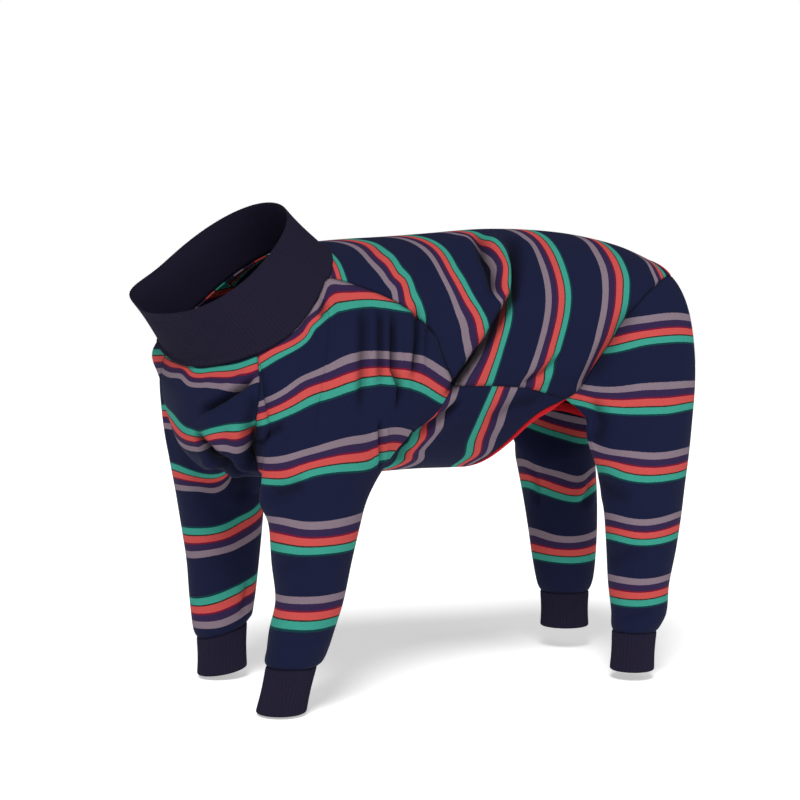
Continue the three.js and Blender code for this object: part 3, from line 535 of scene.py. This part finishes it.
# Facing of every cell corner of a grid, pointing out of the garment
def gridFacing(name, ids, at):
    grid = at[ids]
    closed = name in legs
    if closed:
        grid = closeRound(grid)
    cell = np.cross(grid[1:, 1:] - grid[:-1, :-1], grid[1:, :-1] - grid[:-1, 1:])
    facing = np.zeros_like(grid)
    for i in (0, 1):
        for j in (0, 1):
            facing[i:len(cell) + i, j:cell.shape[1] + j] += cell
    if closed:
        facing[:, 0] += facing[:, -1]
        facing, grid = facing[:, :-1], grid[:, :-1]
        outward = (facing[-1] * (grid[-1] - grid[-1].mean(0))).sum()
    else:
        r, c = len(facing) // 2, facing.shape[1] // 2
        outward = facing[r, c] @ bodyFacing(*places[ids[r, c]])
    return unit(facing) * np.sign(outward)


# Knots on a seam take the mean facing of the panels that meet there
def allFacings(at):
    total = np.zeros_like(at)
    for name, ids in grids.items():
        np.add.at(total, ids, gridFacing(name, ids, at))
    return unit(total)


# Folds pressed into the worn cloth, as lines on its outside in millimetres from the origin. A valley sinks
# by its depth over its width, and darkens the colour along it as painted shade. Each row is depth, width and
# line.
valleys = [
    # down the near side from the middle of the back
    (6.0, 6, [[-3, -26, -3], [-12, -59, -26], [-11, -71, -44], [-12, -78, -64]]),
    (5.0, 6, [[27, -33, -5], [16, -62, -29], [8, -74, -52]]),
    # down the near shoulder and sleeve
    (3.4, 4, [[-118, -61, -60], [-125, -78, -91], [-130, -88, -125], [-134, -90, -152]]),
    (3.4, 3.5, [[-106, -66, -62], [-112, -81, -95], [-115, -88, -130]]),
    (5.5, 3, [[-97, -69, -65], [-102, -81, -93], [-104, -86, -114], [-98, -86, -126], [-99, -86, -137],
              [-102, -86, -150]]),
    (5.5, 3, [[-78, -72, -62], [-82, -82, -90], [-84, -84, -104], [-87, -85, -124]]),
    (3.0, 3, [[-70, -75, -66], [-75, -82, -92], [-77, -83, -112]]),
    (5.0, 2.5, [[-116, -89, -150], [-115, -87, -168], [-112, -80, -188]]),
    (3.5, 3, [[-154, -66, -76], [-149, -61, -66], [-146, -58, -60]]),
    # behind the near armpit
    (4.5, 4, [[-40, -78, -136], [-50, -75, -146], [-62, -72, -155], [-78, -66, -166]]),
    (3.6, 5, [[-78, -76, -155], [-83, -62, -171], [-81, -35, -190]]),
    # across the chest and in front of the near armpit
    (4.5, 6, [[-215, -59, -172], [-220, -37, -186], [-210, 30, -204]]),
    (6.0, 7, [[-240, -28, -168], [-233, -36, -175], [-221, -39, -184], [-211, -37, -189],
              [-196, -33, -193]]),
    (5.0, 10, [[-196, 26, -192], [-182, 28, -206], [-176, 34, -222]]),
    (6.0, 3.5, [[-203, -69, -115], [-216, -62, -127], [-226, -51, -136], [-240, -29, -148]]),
    (3.0, 6, [[-207, -72, -130], [-213, -71, -150], [-212, -64, -170]]),
    (7.0, 6, [[-207, -75, -148], [-209, -70, -160], [-206, -60, -180], [-200, -48, -196]]),
    (3.4, 3.5, [[-206, -65, -173], [-197, -73, -161], [-186, -80, -153]]),
    # across the lower near sleeve
    (2.4, 7, [[-200, -74, -204], [-188, -81, -203], [-174, -91, -196]]),
    (1.0, 6, [[-196, -76, -262], [-183, -84, -257], [-168, -92, -252]]),
    # on the near thigh and flank
    (2.8, 8, [[125, -73, -58], [105, -74, -82], [89, -72, -108], [78, -66, -132]]),
    (2.2, 7, [[97, -74, -88], [79, -71, -117], [66, -65, -136]]),
    (3.0, 3.5, [[50, -76, -100], [33, -76, -115], [8, -76, -128]]),
    (2.0, 7, [[38, -69, -136], [9, -71, -142], [-18, -66, -155]]),
    (2.6, 7, [[78, -64, -138], [88, -71, -159], [83, -66, -180]]),
    # across the near hind leg
    (2.2, 7, [[93, -62, -204], [96, -77, -214], [108, -90, -220]]),
    (1.6, 7, [[99, -66, -273], [106, -86, -265], [120, -95, -262]]),
    (1.0, 5, [[104, -78, -322], [110, -86, -316], [126, -93, -311]]),
    # on the far legs
    (2.0, 4, [[93, 50, -195], [98, 48, -215], [101, 52, -240]]),
    (2.2, 5, [[146, 35, -215], [141, 32, -226], [134, 34, -240]]),
    (2.0, 4, [[-173, 50, -285], [-175, 51, -300], [-178, 52, -318]]),
]
# At a tuck the cloth on the near side of the line lifts over the far side, which sinks and gets a band of
# painted shade
foldEnds = (0.25, 0.25)  # shares of a line over which it fades in and out
tucks = [
    {"lift": 2.0, "sink": 5.0, "width": 9, "ends": (0, 0.3),
     "line": [[-53, -82, -124], [-39, -83, -105], [-25, -82, -89], [-12, -80, -71], [2, -74, -53],
              [8, -66, -35], [11, -53, -19], [13, -35, -6]]},
    {"lift": 2.0, "sink": 4.5, "width": 7, "ends": foldEnds,
     "line": [[-214, -44, -187], [-227, -41, -179], [-234, -36, -172], [-242, -26, -165]]},
]


# The points near a fold's line, how far across it and how far off they lie, and the fade towards its ends
def byFold(at, facing, line, ends):
    line = np.array(line, float) + origin
    run = runAlong(line)
    reach = np.flatnonzero(((at > line.min(0) - 30) & (at < line.max(0) + 30)).all(1))
    near, out = at[reach], facing[reach]
    best, place = np.full(len(near), 1e9), np.zeros(len(near))
    offset, tangent = np.zeros_like(near), np.zeros_like(near)
    for k, (a, b) in enumerate(zip(line, line[1:])):
        share = np.clip((near - a) @ (b - a) / ((b - a) @ (b - a)), 0, 1)
        away = near - a - share[:, None] * (b - a)
        closer = np.linalg.norm(away, axis=1) < best
        best[closer] = np.linalg.norm(away, axis=1)[closer]
        offset[closer], tangent[closer] = away[closer], unit(b - a)
        place[closer] = (run[k] + share * (run[k + 1] - run[k]))[closer]
    across = unit(np.cross(tangent, out))
    start, end = run[-1] * ends[0], run[-1] * ends[1]
    fade = smoothstep(place, -1e-6, start + 1e-6) * smoothstep(run[-1] - place, -1e-6, end + 1e-6)
    return reach, (offset * across).sum(1), best, fade


# Places where the worn cloth is drawn aside: middle, move and reach in millimetres
draws = [
    ([70, -60, -152], [13, 0, 0], 17),
    ([-252, 24, -150], [7, -3, 0], 34),
    ([-231, 61, -97], [-14, 7, -2], 22),
    ([205, -60, -95], [-6, 0, 0], 42),
    ([197, -72, -160], [-6, 0, 0], 42),
    ([183, -80, -225], [-6, 0, 0], 42),
    ([-75, 0, -5], [0, 0, -2.5], 55),
    ([-192, -60, -206], [-7, 0, -4], 15),
    ([119, 40, -164], [0, 0, 11], 28),
    ([0, -14, -190], [0, 0, -3], 38),
]


# Moves the cloth by the draws, valleys and tucks, and gives each point the painted shade that darkens its
# colour in the folds
def pressFolds(at, facing):
    moved, paintedShade = np.zeros_like(at), np.zeros(len(at))
    for middle, by, span in draws:
        away = np.linalg.norm(at - (np.array(middle) + origin), axis=1)
        moved += np.exp(-(away / span) ** 2)[:, None] * by
    for depth, width, line in valleys:
        reach, _, away, fade = byFold(at, facing, line, foldEnds)
        share = away / width
        sink = np.exp(-share ** 2) - 0.35 * np.exp(-(share - 1.9) ** 2)
        moved[reach] -= (depth * fade * sink)[:, None] * facing[reach]
        paintedShade[reach] = np.maximum(paintedShade[reach], depth / 6 * fade * np.exp(-(1.3 * share) ** 2))
    for fold in tucks:
        reach, side, away, fade = byFold(at, facing, fold["line"], fold["ends"])
        near = 1 / (1 + np.exp(np.clip(side / 0.7, -30, 30)))
        close = np.exp(-(away / fold["width"]) ** 2)
        rise = fold["lift"] * near * close - fold["sink"] * (1 - near) * close
        moved[reach] += (fade * rise)[:, None] * facing[reach]
        # painted shade: a dark band on the sunk side, full out to 7 mm from the line
        dark = np.exp(-(np.maximum(away - 7, 0) / 3) ** 2)
        paintedShade[reach] = np.maximum(paintedShade[reach], fade ** 0.5 * (1 - near) * dark)
    return at + moved, np.minimum(paintedShade, 1)


points, paintedShades = pressFolds(points, allFacings(points))
facings = allFacings(points)
print("folds pressed in:", len(valleys) + len(tucks))


# Distance in millimetres from every cell corner to the nearest seamed or free edge of its panel
def edgeDistance(name, grid):
    run = runAlong(grid)
    distance = np.minimum(run, run[-1] - run)
    if name not in legs:
        run = runAlong(grid.swapaxes(0, 1)).T
        distance = np.minimum(distance, np.minimum(run, run[:, -1:] - run))
    return distance


# Makes one closed wall between an outer and an inner grid, with its cloth coordinates in metres
def makeWall(name, outer, inner, closed, cloth, edge, material, paintedShade=None):
    rows, columns = outer.shape[:2]
    corner = np.concatenate([outer.reshape(-1, 3), inner.reshape(-1, 3)]) - origin
    index = np.arange(rows * columns).reshape(rows, columns)
    wrap = closeRound(index) if closed else index
    clothIndex = np.arange(cloth.shape[0] * cloth.shape[1]).reshape(cloth.shape[:2])
    inside = rows * columns
    quads = lambda k: np.stack([k[:-1, :-1], k[1:, :-1], k[1:, 1:], k[:-1, 1:]], -1).reshape(-1, 4)
    faces, uvs = [quads(wrap), quads(wrap)[:, ::-1] + inside], [quads(clothIndex), quads(clothIndex)[:, ::-1]]

    def rim(k, c):
        faces.append(np.stack([k[:-1], k[1:], k[1:] + inside, k[:-1] + inside], -1))
        uvs.append(np.stack([c[:-1], c[1:], c[1:], c[:-1]], -1))
    rim(wrap[0], clothIndex[0])
    rim(wrap[-1][::-1], clothIndex[-1][::-1])
    if not closed:
        rim(wrap[::-1, 0], clothIndex[::-1, 0])
        rim(wrap[:, -1], clothIndex[:, -1])
    faces, uvs = np.concatenate(faces), np.concatenate(uvs)
    a, b, c, d = (corner[faces[:, n]] for n in range(4))
    if (np.einsum("ij,ij->i", a, np.cross(b, c)) + np.einsum("ij,ij->i", a, np.cross(c, d))).sum() < 0:
        faces, uvs = faces[:, ::-1], uvs[:, ::-1]
    mesh = bpy.data.meshes.new(name)
    mesh.vertices.add(len(corner))
    mesh.vertices.foreach_set("co", (corner / 1000).ravel())
    mesh.loops.add(faces.size)
    mesh.loops.foreach_set("vertex_index", faces.ravel())
    mesh.polygons.add(len(faces))
    mesh.polygons.foreach_set("loop_start", np.arange(0, faces.size, 4))
    mesh.polygons.foreach_set("use_smooth", np.ones(len(faces), bool))
    mesh.update(calc_edges=True)
    cloth = (cloth.reshape(-1, cloth.shape[-1])[uvs.ravel()] / 1000).astype(np.float32)
    for n, layer in enumerate(("cloth", "behind")[:cloth.shape[-1] // 2]):
        mesh.uv_layers.new(name=layer).data.foreach_set("uv", cloth[:, 2 * n:2 * n + 2].ravel())
    seam = mesh.attributes.new("edge", "FLOAT", "POINT")
    seam.data.foreach_set("value", np.concatenate([edge.ravel()] * 2) / 1000)
    # painted shade in the folds, on the outer side of the cloth only
    if paintedShade is not None:
        crease = mesh.attributes.new("crease", "FLOAT", "POINT")
        crease.data.foreach_set("value", np.concatenate([paintedShade.ravel(), 0 * paintedShade.ravel()]))
    piece = bpy.data.objects.new(name, mesh)
    bpy.context.scene.collection.objects.link(piece)
    mesh.materials.append(material)
    mesh.validate()
    return piece


# Moves the rim of a panel a little into the panel, so that neighbours never touch
def drawIn(name, grid, amount):
    moved = grid.copy()
    for near, far in ((0, 1), (-1, -2)):
        moved[near] += amount * unit(grid[far] - grid[near])
        if name not in legs:
            moved[:, near] += amount * unit(grid[:, far] - grid[:, near])
    return moved


def node(tree, kind, **inputs):
    made = tree.nodes.new(kind)
    for key, value in inputs.items():
        if key in made.inputs:
            made.inputs[key].default_value = value
        else:
            setattr(made, key, value)
    return made


def newCloth(name, roughness, sheen):
    material = bpy.data.materials.new(name)
    material.use_nodes = True
    tree = material.node_tree
    shader = tree.nodes["Principled BSDF"]
    shader.inputs["Roughness"].default_value = roughness
    shader.inputs["Specular IOR Level"].default_value = 0.1
    shader.inputs["Sheen Weight"].default_value = sheen
    shader.inputs["Sheen Roughness"].default_value = 0.4
    shader.inputs["Sheen Tint"].default_value = (0.6, 0.65, 0.9, 1)
    return material, tree, shader


def fromHex(text):
    value = np.array([int(text[i:i + 2], 16) / 255 for i in (0, 2, 4)])
    linear = np.where(value <= 0.04045, value / 12.92, ((value + 0.055) / 1.055) ** 2.4)
    return (*linear, 1)


def maths(tree, operation, first, second=None, clamp=False):
    made = tree.nodes.new("ShaderNodeMath")
    made.operation, made.use_clamp = operation, clamp
    for slot, value in enumerate((first, second)):
        if value is None:
            continue
        if isinstance(value, (int, float)):
            made.inputs[slot].default_value = value
        else:
            tree.links.new(value, made.inputs[slot])
    return made.outputs[0]


# The cloth's two coordinates in metres: along the stripes' order, and across it
def clothCoordinates(tree, layer="cloth"):
    uv = node(tree, "ShaderNodeUVMap", uv_map=layer)
    split = node(tree, "ShaderNodeSeparateXYZ")
    tree.links.new(uv.outputs[0], split.inputs[0])
    return uv.outputs[0], split.outputs[0], split.outputs[1]


# Knitted surface: fine columns and rows of stitches, a groove along the seams, and a slightly uneven colour,
# with painted shade darkening the colour in the seam groove and in the folds' creases
def finishCloth(tree, shader, colour, along, across, pitch, depth):
    wave = lambda value, length: maths(tree, "SINE", maths(tree, "MULTIPLY", value, 2000 * np.pi / length))
    stitch = maths(tree, "ADD", wave(across, pitch[0]), maths(tree, "MULTIPLY", wave(along, pitch[1]), 0.5))
    edge = node(tree, "ShaderNodeAttribute", attribute_name="edge").outputs["Fac"]
    groove = maths(tree, "POWER", 2.718, maths(tree, "MULTIPLY", edge, -1100))
    height = maths(tree, "SUBTRACT", maths(tree, "MULTIPLY", stitch, 0.5), maths(tree, "MULTIPLY", groove, 4))
    bump = node(tree, "ShaderNodeBump", Strength=0.5, Distance=depth)
    tree.links.new(height, bump.inputs["Height"])
    tree.links.new(bump.outputs[0], shader.inputs["Normal"])
    place = node(tree, "ShaderNodeTexCoord").outputs["Object"]
    shade = None
    for scale, weight in ((26.0, 0.16), (700.0, 0.22)):
        noise = node(tree, "ShaderNodeTexNoise", Scale=scale, Detail=3.0)
        tree.links.new(place, noise.inputs["Vector"])
        part = maths(tree, "MULTIPLY", maths(tree, "SUBTRACT", noise.outputs[0], 0.5), weight)
        shade = part if shade is None else maths(tree, "ADD", shade, part)
    # painted shade: the colour darkens by up to half in the groove near every edge
    shade = maths(tree, "SUBTRACT", maths(tree, "ADD", shade, 1), maths(tree, "MULTIPLY", groove, 0.5))
    # painted shade: the colour darkens by up to 0.92 of it where folds and tucks are deep
    crease = node(tree, "ShaderNodeAttribute", attribute_name="crease").outputs["Fac"]
    shade = maths(tree, "MULTIPLY", shade, maths(tree, "SUBTRACT", 1, maths(tree, "MULTIPLY", crease, 0.92)))
    value = node(tree, "ShaderNodeHueSaturation")
    tree.links.new(colour, value.inputs["Color"])
    tree.links.new(shade, value.inputs["Value"])
    tree.links.new(value.outputs[0], shader.inputs["Base Color"])


# Striped jersey: colours in one repeat from its start, in millimetres
def stripedJersey(name):
    material, tree, shader = newCloth(name, 0.9, 0.02)
    uv, along, across = clothCoordinates(tree)
    _, behind, tuck = clothCoordinates(tree, "behind")
    past = maths(tree, "GREATER_THAN", tuck, 0)
    along = maths(tree, "ADD", along, maths(tree, "MULTIPLY", past, maths(tree, "SUBTRACT", behind, along)))
    noise = node(tree, "ShaderNodeTexNoise", Scale=900.0, Detail=2.0)
    tree.links.new(uv, noise.inputs["Vector"])
    ragged = maths(tree, "MULTIPLY", maths(tree, "SUBTRACT", noise.outputs[0], 0.5), 0.0006)
    share = maths(tree, "FRACT", maths(tree, "DIVIDE", maths(tree, "ADD", along, ragged), repeat / 1000))
    ramp = node(tree, "ShaderNodeValToRGB")
    ramp.color_ramp.interpolation = "CONSTANT"
    bands = [[0, "786974"], [5.2, "2c1f40"], [10.2, "680f2c"], [11.5, "b74744"], [16.7, "2e261d"],
             [17.6, "348c7c"], [22.7, "0a3539"], [24.2, "131732"]]
    elements = ramp.color_ramp.elements
    for place, colour in bands:
        element = elements[0] if place == 0 else elements.new(place / repeat)
        element.color = fromHex(colour)
    elements.remove(elements[-1])
    tree.links.new(share, ramp.inputs[0])
    finishCloth(tree, shader, ramp.outputs[0], along, across, [1.1, 0.9], 0.00016)
    return material


def ribKnit(name, colour, pitch, roughness=0.85):
    material, tree, shader = newCloth(name, roughness, 0.02)
    uv, along, across = clothCoordinates(tree)
    noise = node(tree, "ShaderNodeTexNoise", Scale=700.0, Detail=3.0)
    tree.links.new(uv, noise.inputs["Vector"])
    mix = node(tree, "ShaderNodeMix", data_type="RGBA", blend_type="MULTIPLY")
    mix.inputs[0].default_value = 0.3
    mix.inputs[6].default_value = fromHex(colour)
    tree.links.new(noise.outputs[0], mix.inputs[7])
    finishCloth(tree, shader, mix.outputs[2], along, across, [pitch / 2, 1.2], 0.0001)
    return material


jersey = stripedJersey("striped_jersey")
darkRib = ribKnit("dark_rib", "1e1a2e", 3)
redRib = ribKnit("red_binding", "d01a26", 2.4)


def finishPiece(piece):
    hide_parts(piece.name[6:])
    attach(piece, "root")


for name, ids in grids.items():
    closed = name in legs
    grid, out = points[ids], facings[ids]
    edge = edgeDistance(name, grid)
    stripes, behind, tuck, across = panelCloth(name, ids, grid)
    cloth = np.stack([stripes, across, behind, tuck], -1)
    grid = drawIn(name, grid, seamGap / 2) - (0.5 * np.exp(-(edge / 1.5) ** 2))[..., None] * out
    outer, inner = grid + out * jerseyWall / 2, grid - out * jerseyWall / 2
    piece = makeWall("cloth_" + name, outer, inner, closed, cloth, edge, jersey, paintedShades[ids])
    finishPiece(piece)
    print("made", piece.name, len(piece.data.polygons))


# Even places round a closed line of points, the facings given with it at those places, and its length
def roundLine(line, *others, spacing=None, count=None):
    run = runAlong(closeLoop(line))
    count = count or int(round(run[-1] / spacing))
    goal = run[-1] * np.arange(count) / count

    def read(rows):
        return np.stack([np.interp(goal, run, closeLoop(rows)[:, c]) for c in range(3)], 1)
    return [read(line)] + [unit(read(o)) for o in others] + [run[-1]]


def smoothRound(rows, passes):
    for _ in range(passes):
        rows = unit(2 * rows + np.roll(rows, 1, 0) + np.roll(rows, -1, 0))
    return rows


# A knitted band: rows of points from a seam line, with ribs across it and a rounded free edge
def makeBand(name, rows, out, ribs, relief, material):
    count = rows.shape[1]
    wave = 0.5 + 0.5 * np.cos(2 * np.pi * ribs * np.arange(count) / count)
    wave = relief * (wave ** 0.7 - 0.5)
    run = runAlong(rows)
    near = np.minimum(run, run[-1:] - run)
    half = ribWall / 2
    rounded = np.sqrt(np.clip(1 - (1 - np.minimum(near / half, 1)) ** 2, 0.05, 1))
    free = 1 - np.exp(-near / 1.5)
    outer = rows + out * (half * rounded + wave[None] * free)[..., None]
    inner = rows - out * (half * rounded)[..., None]
    across = np.broadcast_to(np.arange(count + 1) / count * loopLength(rows[0]), (len(rows), count + 1))
    cloth = np.stack([closeRound(run), across], -1)
    piece = makeWall("cloth_" + name, outer, inner, True, cloth, near, material)
    finishPiece(piece)
    print("made", piece.name, len(piece.data.polygons))


def rowShares(length, step, end):
    middle = np.linspace(end, length - end, max(int(round((length - 2 * end) / step)), 2) + 1)
    tip = np.array([0, 0.15, 0.4, 0.7]) * end
    return np.concatenate([tip, middle, (length - tip)[::-1]]) / length


# Height in millimetres, and how far each cuff goes on in its leg's slant
cuffs = {
    "cuff_front_left": {"leg": "sleeve_left", "height": 34, "lean": 0.5},
    "cuff_front_right": {"leg": "sleeve_right", "height": 34, "lean": 0.5},
    "cuff_hind_left": {"leg": "hind_leg_left", "height": 32, "lean": 0.2},
    "cuff_hind_right": {"leg": "hind_leg_right", "height": 32, "lean": 0.2},
}


def makeCuff(name, leg, height, lean):
    last = legs[leg]["ends"][1]
    turns = np.linspace(0, 360, 384, endpoint=False)
    rim, around = roundLine(legRing(leg, last, turns), spacing=0.42)
    before = legRing(leg, last - 0.02, turns)
    centre, above = rim.mean(0), before.mean(0)
    drift = (centre - above) * lean / abs(centre[2] - above[2])
    u = rowShares(height, 1.2, 1.4)[:, None, None]
    size = 1 - 0.06 * np.sin(np.pi * u * 0.8) + 0.03 * u
    middle = centre + np.array([drift[0], drift[1], -1]) * height * u
    rows = middle + (rim - centre)[None] * size
    rows[:, :, 2] = middle[:, :, 2] + (rim[:, 2] - centre[2])[None] * (1 - 0.5 * u[..., 0])
    out = unit((rim - centre) * [1, 1, 0])[None] + np.zeros_like(rows)
    rows[0, :, 2] -= seamGap
    makeBand(name, rows, out, int(round(around / 2.9)), 0.8, darkRib)


for name, cuff in cuffs.items():
    makeCuff(name, **cuff)

# The collar laps over the panels, follows them up to the neck seam and closes in towards its free edge
collar = {
    "height": 44, "lean": [-0.66, 0, 0.75], "closing": 0.07, "lift": 2.1,
    "lap": [[0, 4], [20, 4], [200, 4], [225, 4], [248, 5.5], [258, 7.5], [268, 10], [278, 8.5], [288, 4]],
}


def neckPaths(rows):
    sides = {}
    for name, s in (("sleeve_left", left), ("sleeve_right", right)):
        columns = steps["chest"] + steps["neckSide"] - np.arange(steps["neckSide"] + 1)
        sides[name] = grids[name][:rows, columns]
    ids = [backGrid[:rows, :-1], sides["sleeve_right"][:, :-1],
           bellyGrid[:rows, :0:-1], sides["sleeve_left"][:, :0:-1]]
    return np.concatenate(ids, 1)


def smoothCircle(values, passes):
    for _ in range(passes):
        values = (np.roll(values, 1) + 2 * values + np.roll(values, -1)) / 4
    return values


def makeCollar():
    ids = neckPaths(24)
    paths, out = points[ids], facings[ids]
    count = ids.shape[1]
    lap = np.interp(np.arange(count), *np.array(collar["lap"], float).T)
    lap = smoothCircle(lap, 40)
    run = runAlong(paths)
    length = loopLength(paths[0])
    seamOut = smoothRound(out[0], 30)
    centre = paths[0].mean(0)
    lean = unit(np.array(collar["lean"]))
    shares = rowShares(collar["height"] + lap.mean(), 1.3, 1.4)
    rows, facing = [], []

    def readDown(values, depth):
        return np.array([[np.interp(depth[k], run[:, k], values[:, k, c]) for c in range(3)]
                         for k in range(count)])
    for share in shares:
        up = share * (collar["height"] + lap) - lap
        rise = np.clip(up / collar["height"], 0, 1)[:, None]
        above = (centre + (paths[0] - centre) * (1 - collar["closing"] * np.sin(rise * np.pi / 2))
                 + lean * collar["height"] * rise)
        below, belowOut = readDown(paths, -up), readDown(out, -up)
        mix = smoothstep(up, -4, 6)[:, None]
        rows.append(np.where(up[:, None] > 0, above, below))
        facing.append(unit(seamOut * mix + smoothRound(unit(belowOut), 10) * (1 - mix)))
    rows, facing = np.array(rows), np.array(facing)
    for _ in range(2):
        rows[1:-1] = (rows[:-2] + 2 * rows[1:-1] + rows[2:]) / 4
    rows = rows + facing * collar["lift"]
    around = int(round(length / 0.5))
    spread = [roundLine(row, side, count=around)[:2] for row, side in zip(rows, facing)]
    rows, facing = np.array([r for r, _ in spread]), np.array([f for _, f in spread])
    makeBand("collar", rows, facing, int(round(length / 3)), 0.8, darkRib)


makeCollar()

# The binding carries on from the edge of the rear opening, inwards over the opening
binding = {"width": 9, "roll": 50, "spacing": 0.6, "rib": 2.6, "relief": 0.3}
openingEdge = np.concatenate([bellyRear[:-1], right["thighEdge"][:-1],
                              backRear[::-1][:-1], left["thighEdge"][::-1][:-1]])
edgeLine, edgeOut, edgeRun = roundLine(points[openingEdge], facings[openingEdge],
                                       spacing=binding["spacing"])
edgeOut = smoothRound(edgeOut, 60)
run = unit(np.roll(edgeLine, -3, 0) - np.roll(edgeLine, 3, 0))
inwards = smoothRound(unit(np.cross(edgeOut, run)), 400)
bindingOut = unit(np.cross(run, inwards))
u = rowShares(binding["width"], 0.8, 1.2)
roll = np.radians(binding["roll"] * u)
halfWay = (roll[1:] + roll[:-1]) / 2
stepOut, stepIn = (np.concatenate([[0], np.cumsum(np.diff(u) * way(halfWay))]) * binding["width"]
                   for way in (np.sin, np.cos))
bindingRows = edgeLine + inwards * (stepIn[:, None, None] + seamGap / 2) - bindingOut * stepOut[:, None, None]
bindingFacing = bindingOut * np.cos(roll)[:, None, None] + inwards * np.sin(roll)[:, None, None]
makeBand("opening_binding", bindingRows, bindingFacing, int(round(edgeRun / binding["rib"])),
         binding["relief"], redRib)

# Floor and light; sky is what the camera sees beyond what lights the cloth
stage = {"floorZ": -0.3702, "floorSize": 60, "floorGrey": 0.93, "floorGlow": 0.45, "light": 0.2, "sky": 0.8}
lamps = {
    "key": {"towards": (-0.8, -1.3, 1.8), "softness": 22, "strength": 2.6},
    "fill": {"towards": (1.1, -1.9, 0.7), "softness": 60, "strength": 0.5},
}


def makeStage():
    bpy.ops.object.select_all(action="DESELECT")
    bpy.ops.mesh.primitive_plane_add(size=stage["floorSize"], location=(0, 0, stage["floorZ"]))
    floor = bpy.context.object
    floor.name = "floor"
    material = bpy.data.materials.new("pale_floor")
    material.use_nodes = True
    shader = material.node_tree.nodes["Principled BSDF"]
    shader.inputs["Base Color"].default_value = (*[stage["floorGrey"]] * 3, 1)
    shader.inputs["Roughness"].default_value = 1
    shader.inputs["Emission Color"].default_value = (1, 1, 1, 1)
    shader.inputs["Emission Strength"].default_value = stage["floorGlow"]
    floor.data.materials.append(material)
    world = bpy.data.worlds.new("studio")
    bpy.context.scene.world = world
    world.use_nodes = True
    tree = world.node_tree
    background = tree.nodes["Background"]
    background.inputs[0].default_value = (1, 1, 1, 1)
    direct = node(tree, "ShaderNodeLightPath").outputs["Is Camera Ray"]
    strength = maths(tree, "ADD", maths(tree, "MULTIPLY", direct, stage["sky"]), stage["light"])
    tree.links.new(strength, background.inputs[1])
    bpy.context.scene.view_settings.view_transform = "Standard"


# Broad soft light from one direction, given as the way towards the lamp
def addLamp(name, towards, softness, strength):
    data = bpy.data.lights.new(name, "SUN")
    data.angle, data.energy = np.radians(softness), strength
    lamp = bpy.data.objects.new(name, data)
    bpy.context.scene.collection.objects.link(lamp)
    lamp.rotation_euler = Vector(towards).to_track_quat("Z", "Y").to_euler()


makeStage()
for name, lamp in lamps.items():
    addLamp(name, **lamp)

# Seen from the neck end's left, 24 degrees round and slightly above. Angles are in degrees and lengths in
# metres. The lens is in pixels of the picture, and the sensor in millimetres.
view = {"turn": 24.34, "pitch": 1.80, "distance": 1.234, "height": 0.293, "aside": 0.0466,
        "middle": [0.007676, 0, 0.394467], "lens": 1484, "picture": 800, "sensor": 36}


def addCamera():
    turn, pitch = np.radians(view["turn"]), np.radians(view["pitch"])
    ahead = np.array([np.sin(turn) * np.cos(pitch), np.cos(turn) * np.cos(pitch), -np.sin(pitch)])
    side = np.array([np.cos(turn), -np.sin(turn), 0])
    back = view["distance"]
    place = np.array([-np.sin(turn) * back, -np.cos(turn) * back, view["height"]])
    place = place - view["aside"] * side - view["middle"]
    matrix = np.eye(4)
    matrix[:3, 0], matrix[:3, 1], matrix[:3, 2], matrix[:3, 3] = side, np.cross(side, ahead), -ahead, place
    data = bpy.data.cameras.new("camera")
    data.sensor_width, data.lens = view["sensor"], view["lens"] / view["picture"] * view["sensor"]
    camera = bpy.data.objects.new("camera", data)
    bpy.context.scene.collection.objects.link(camera)
    camera.matrix_world = Matrix(matrix.tolist())
    bpy.context.scene.camera = camera


addCamera()
print("stage, lamps and camera set")
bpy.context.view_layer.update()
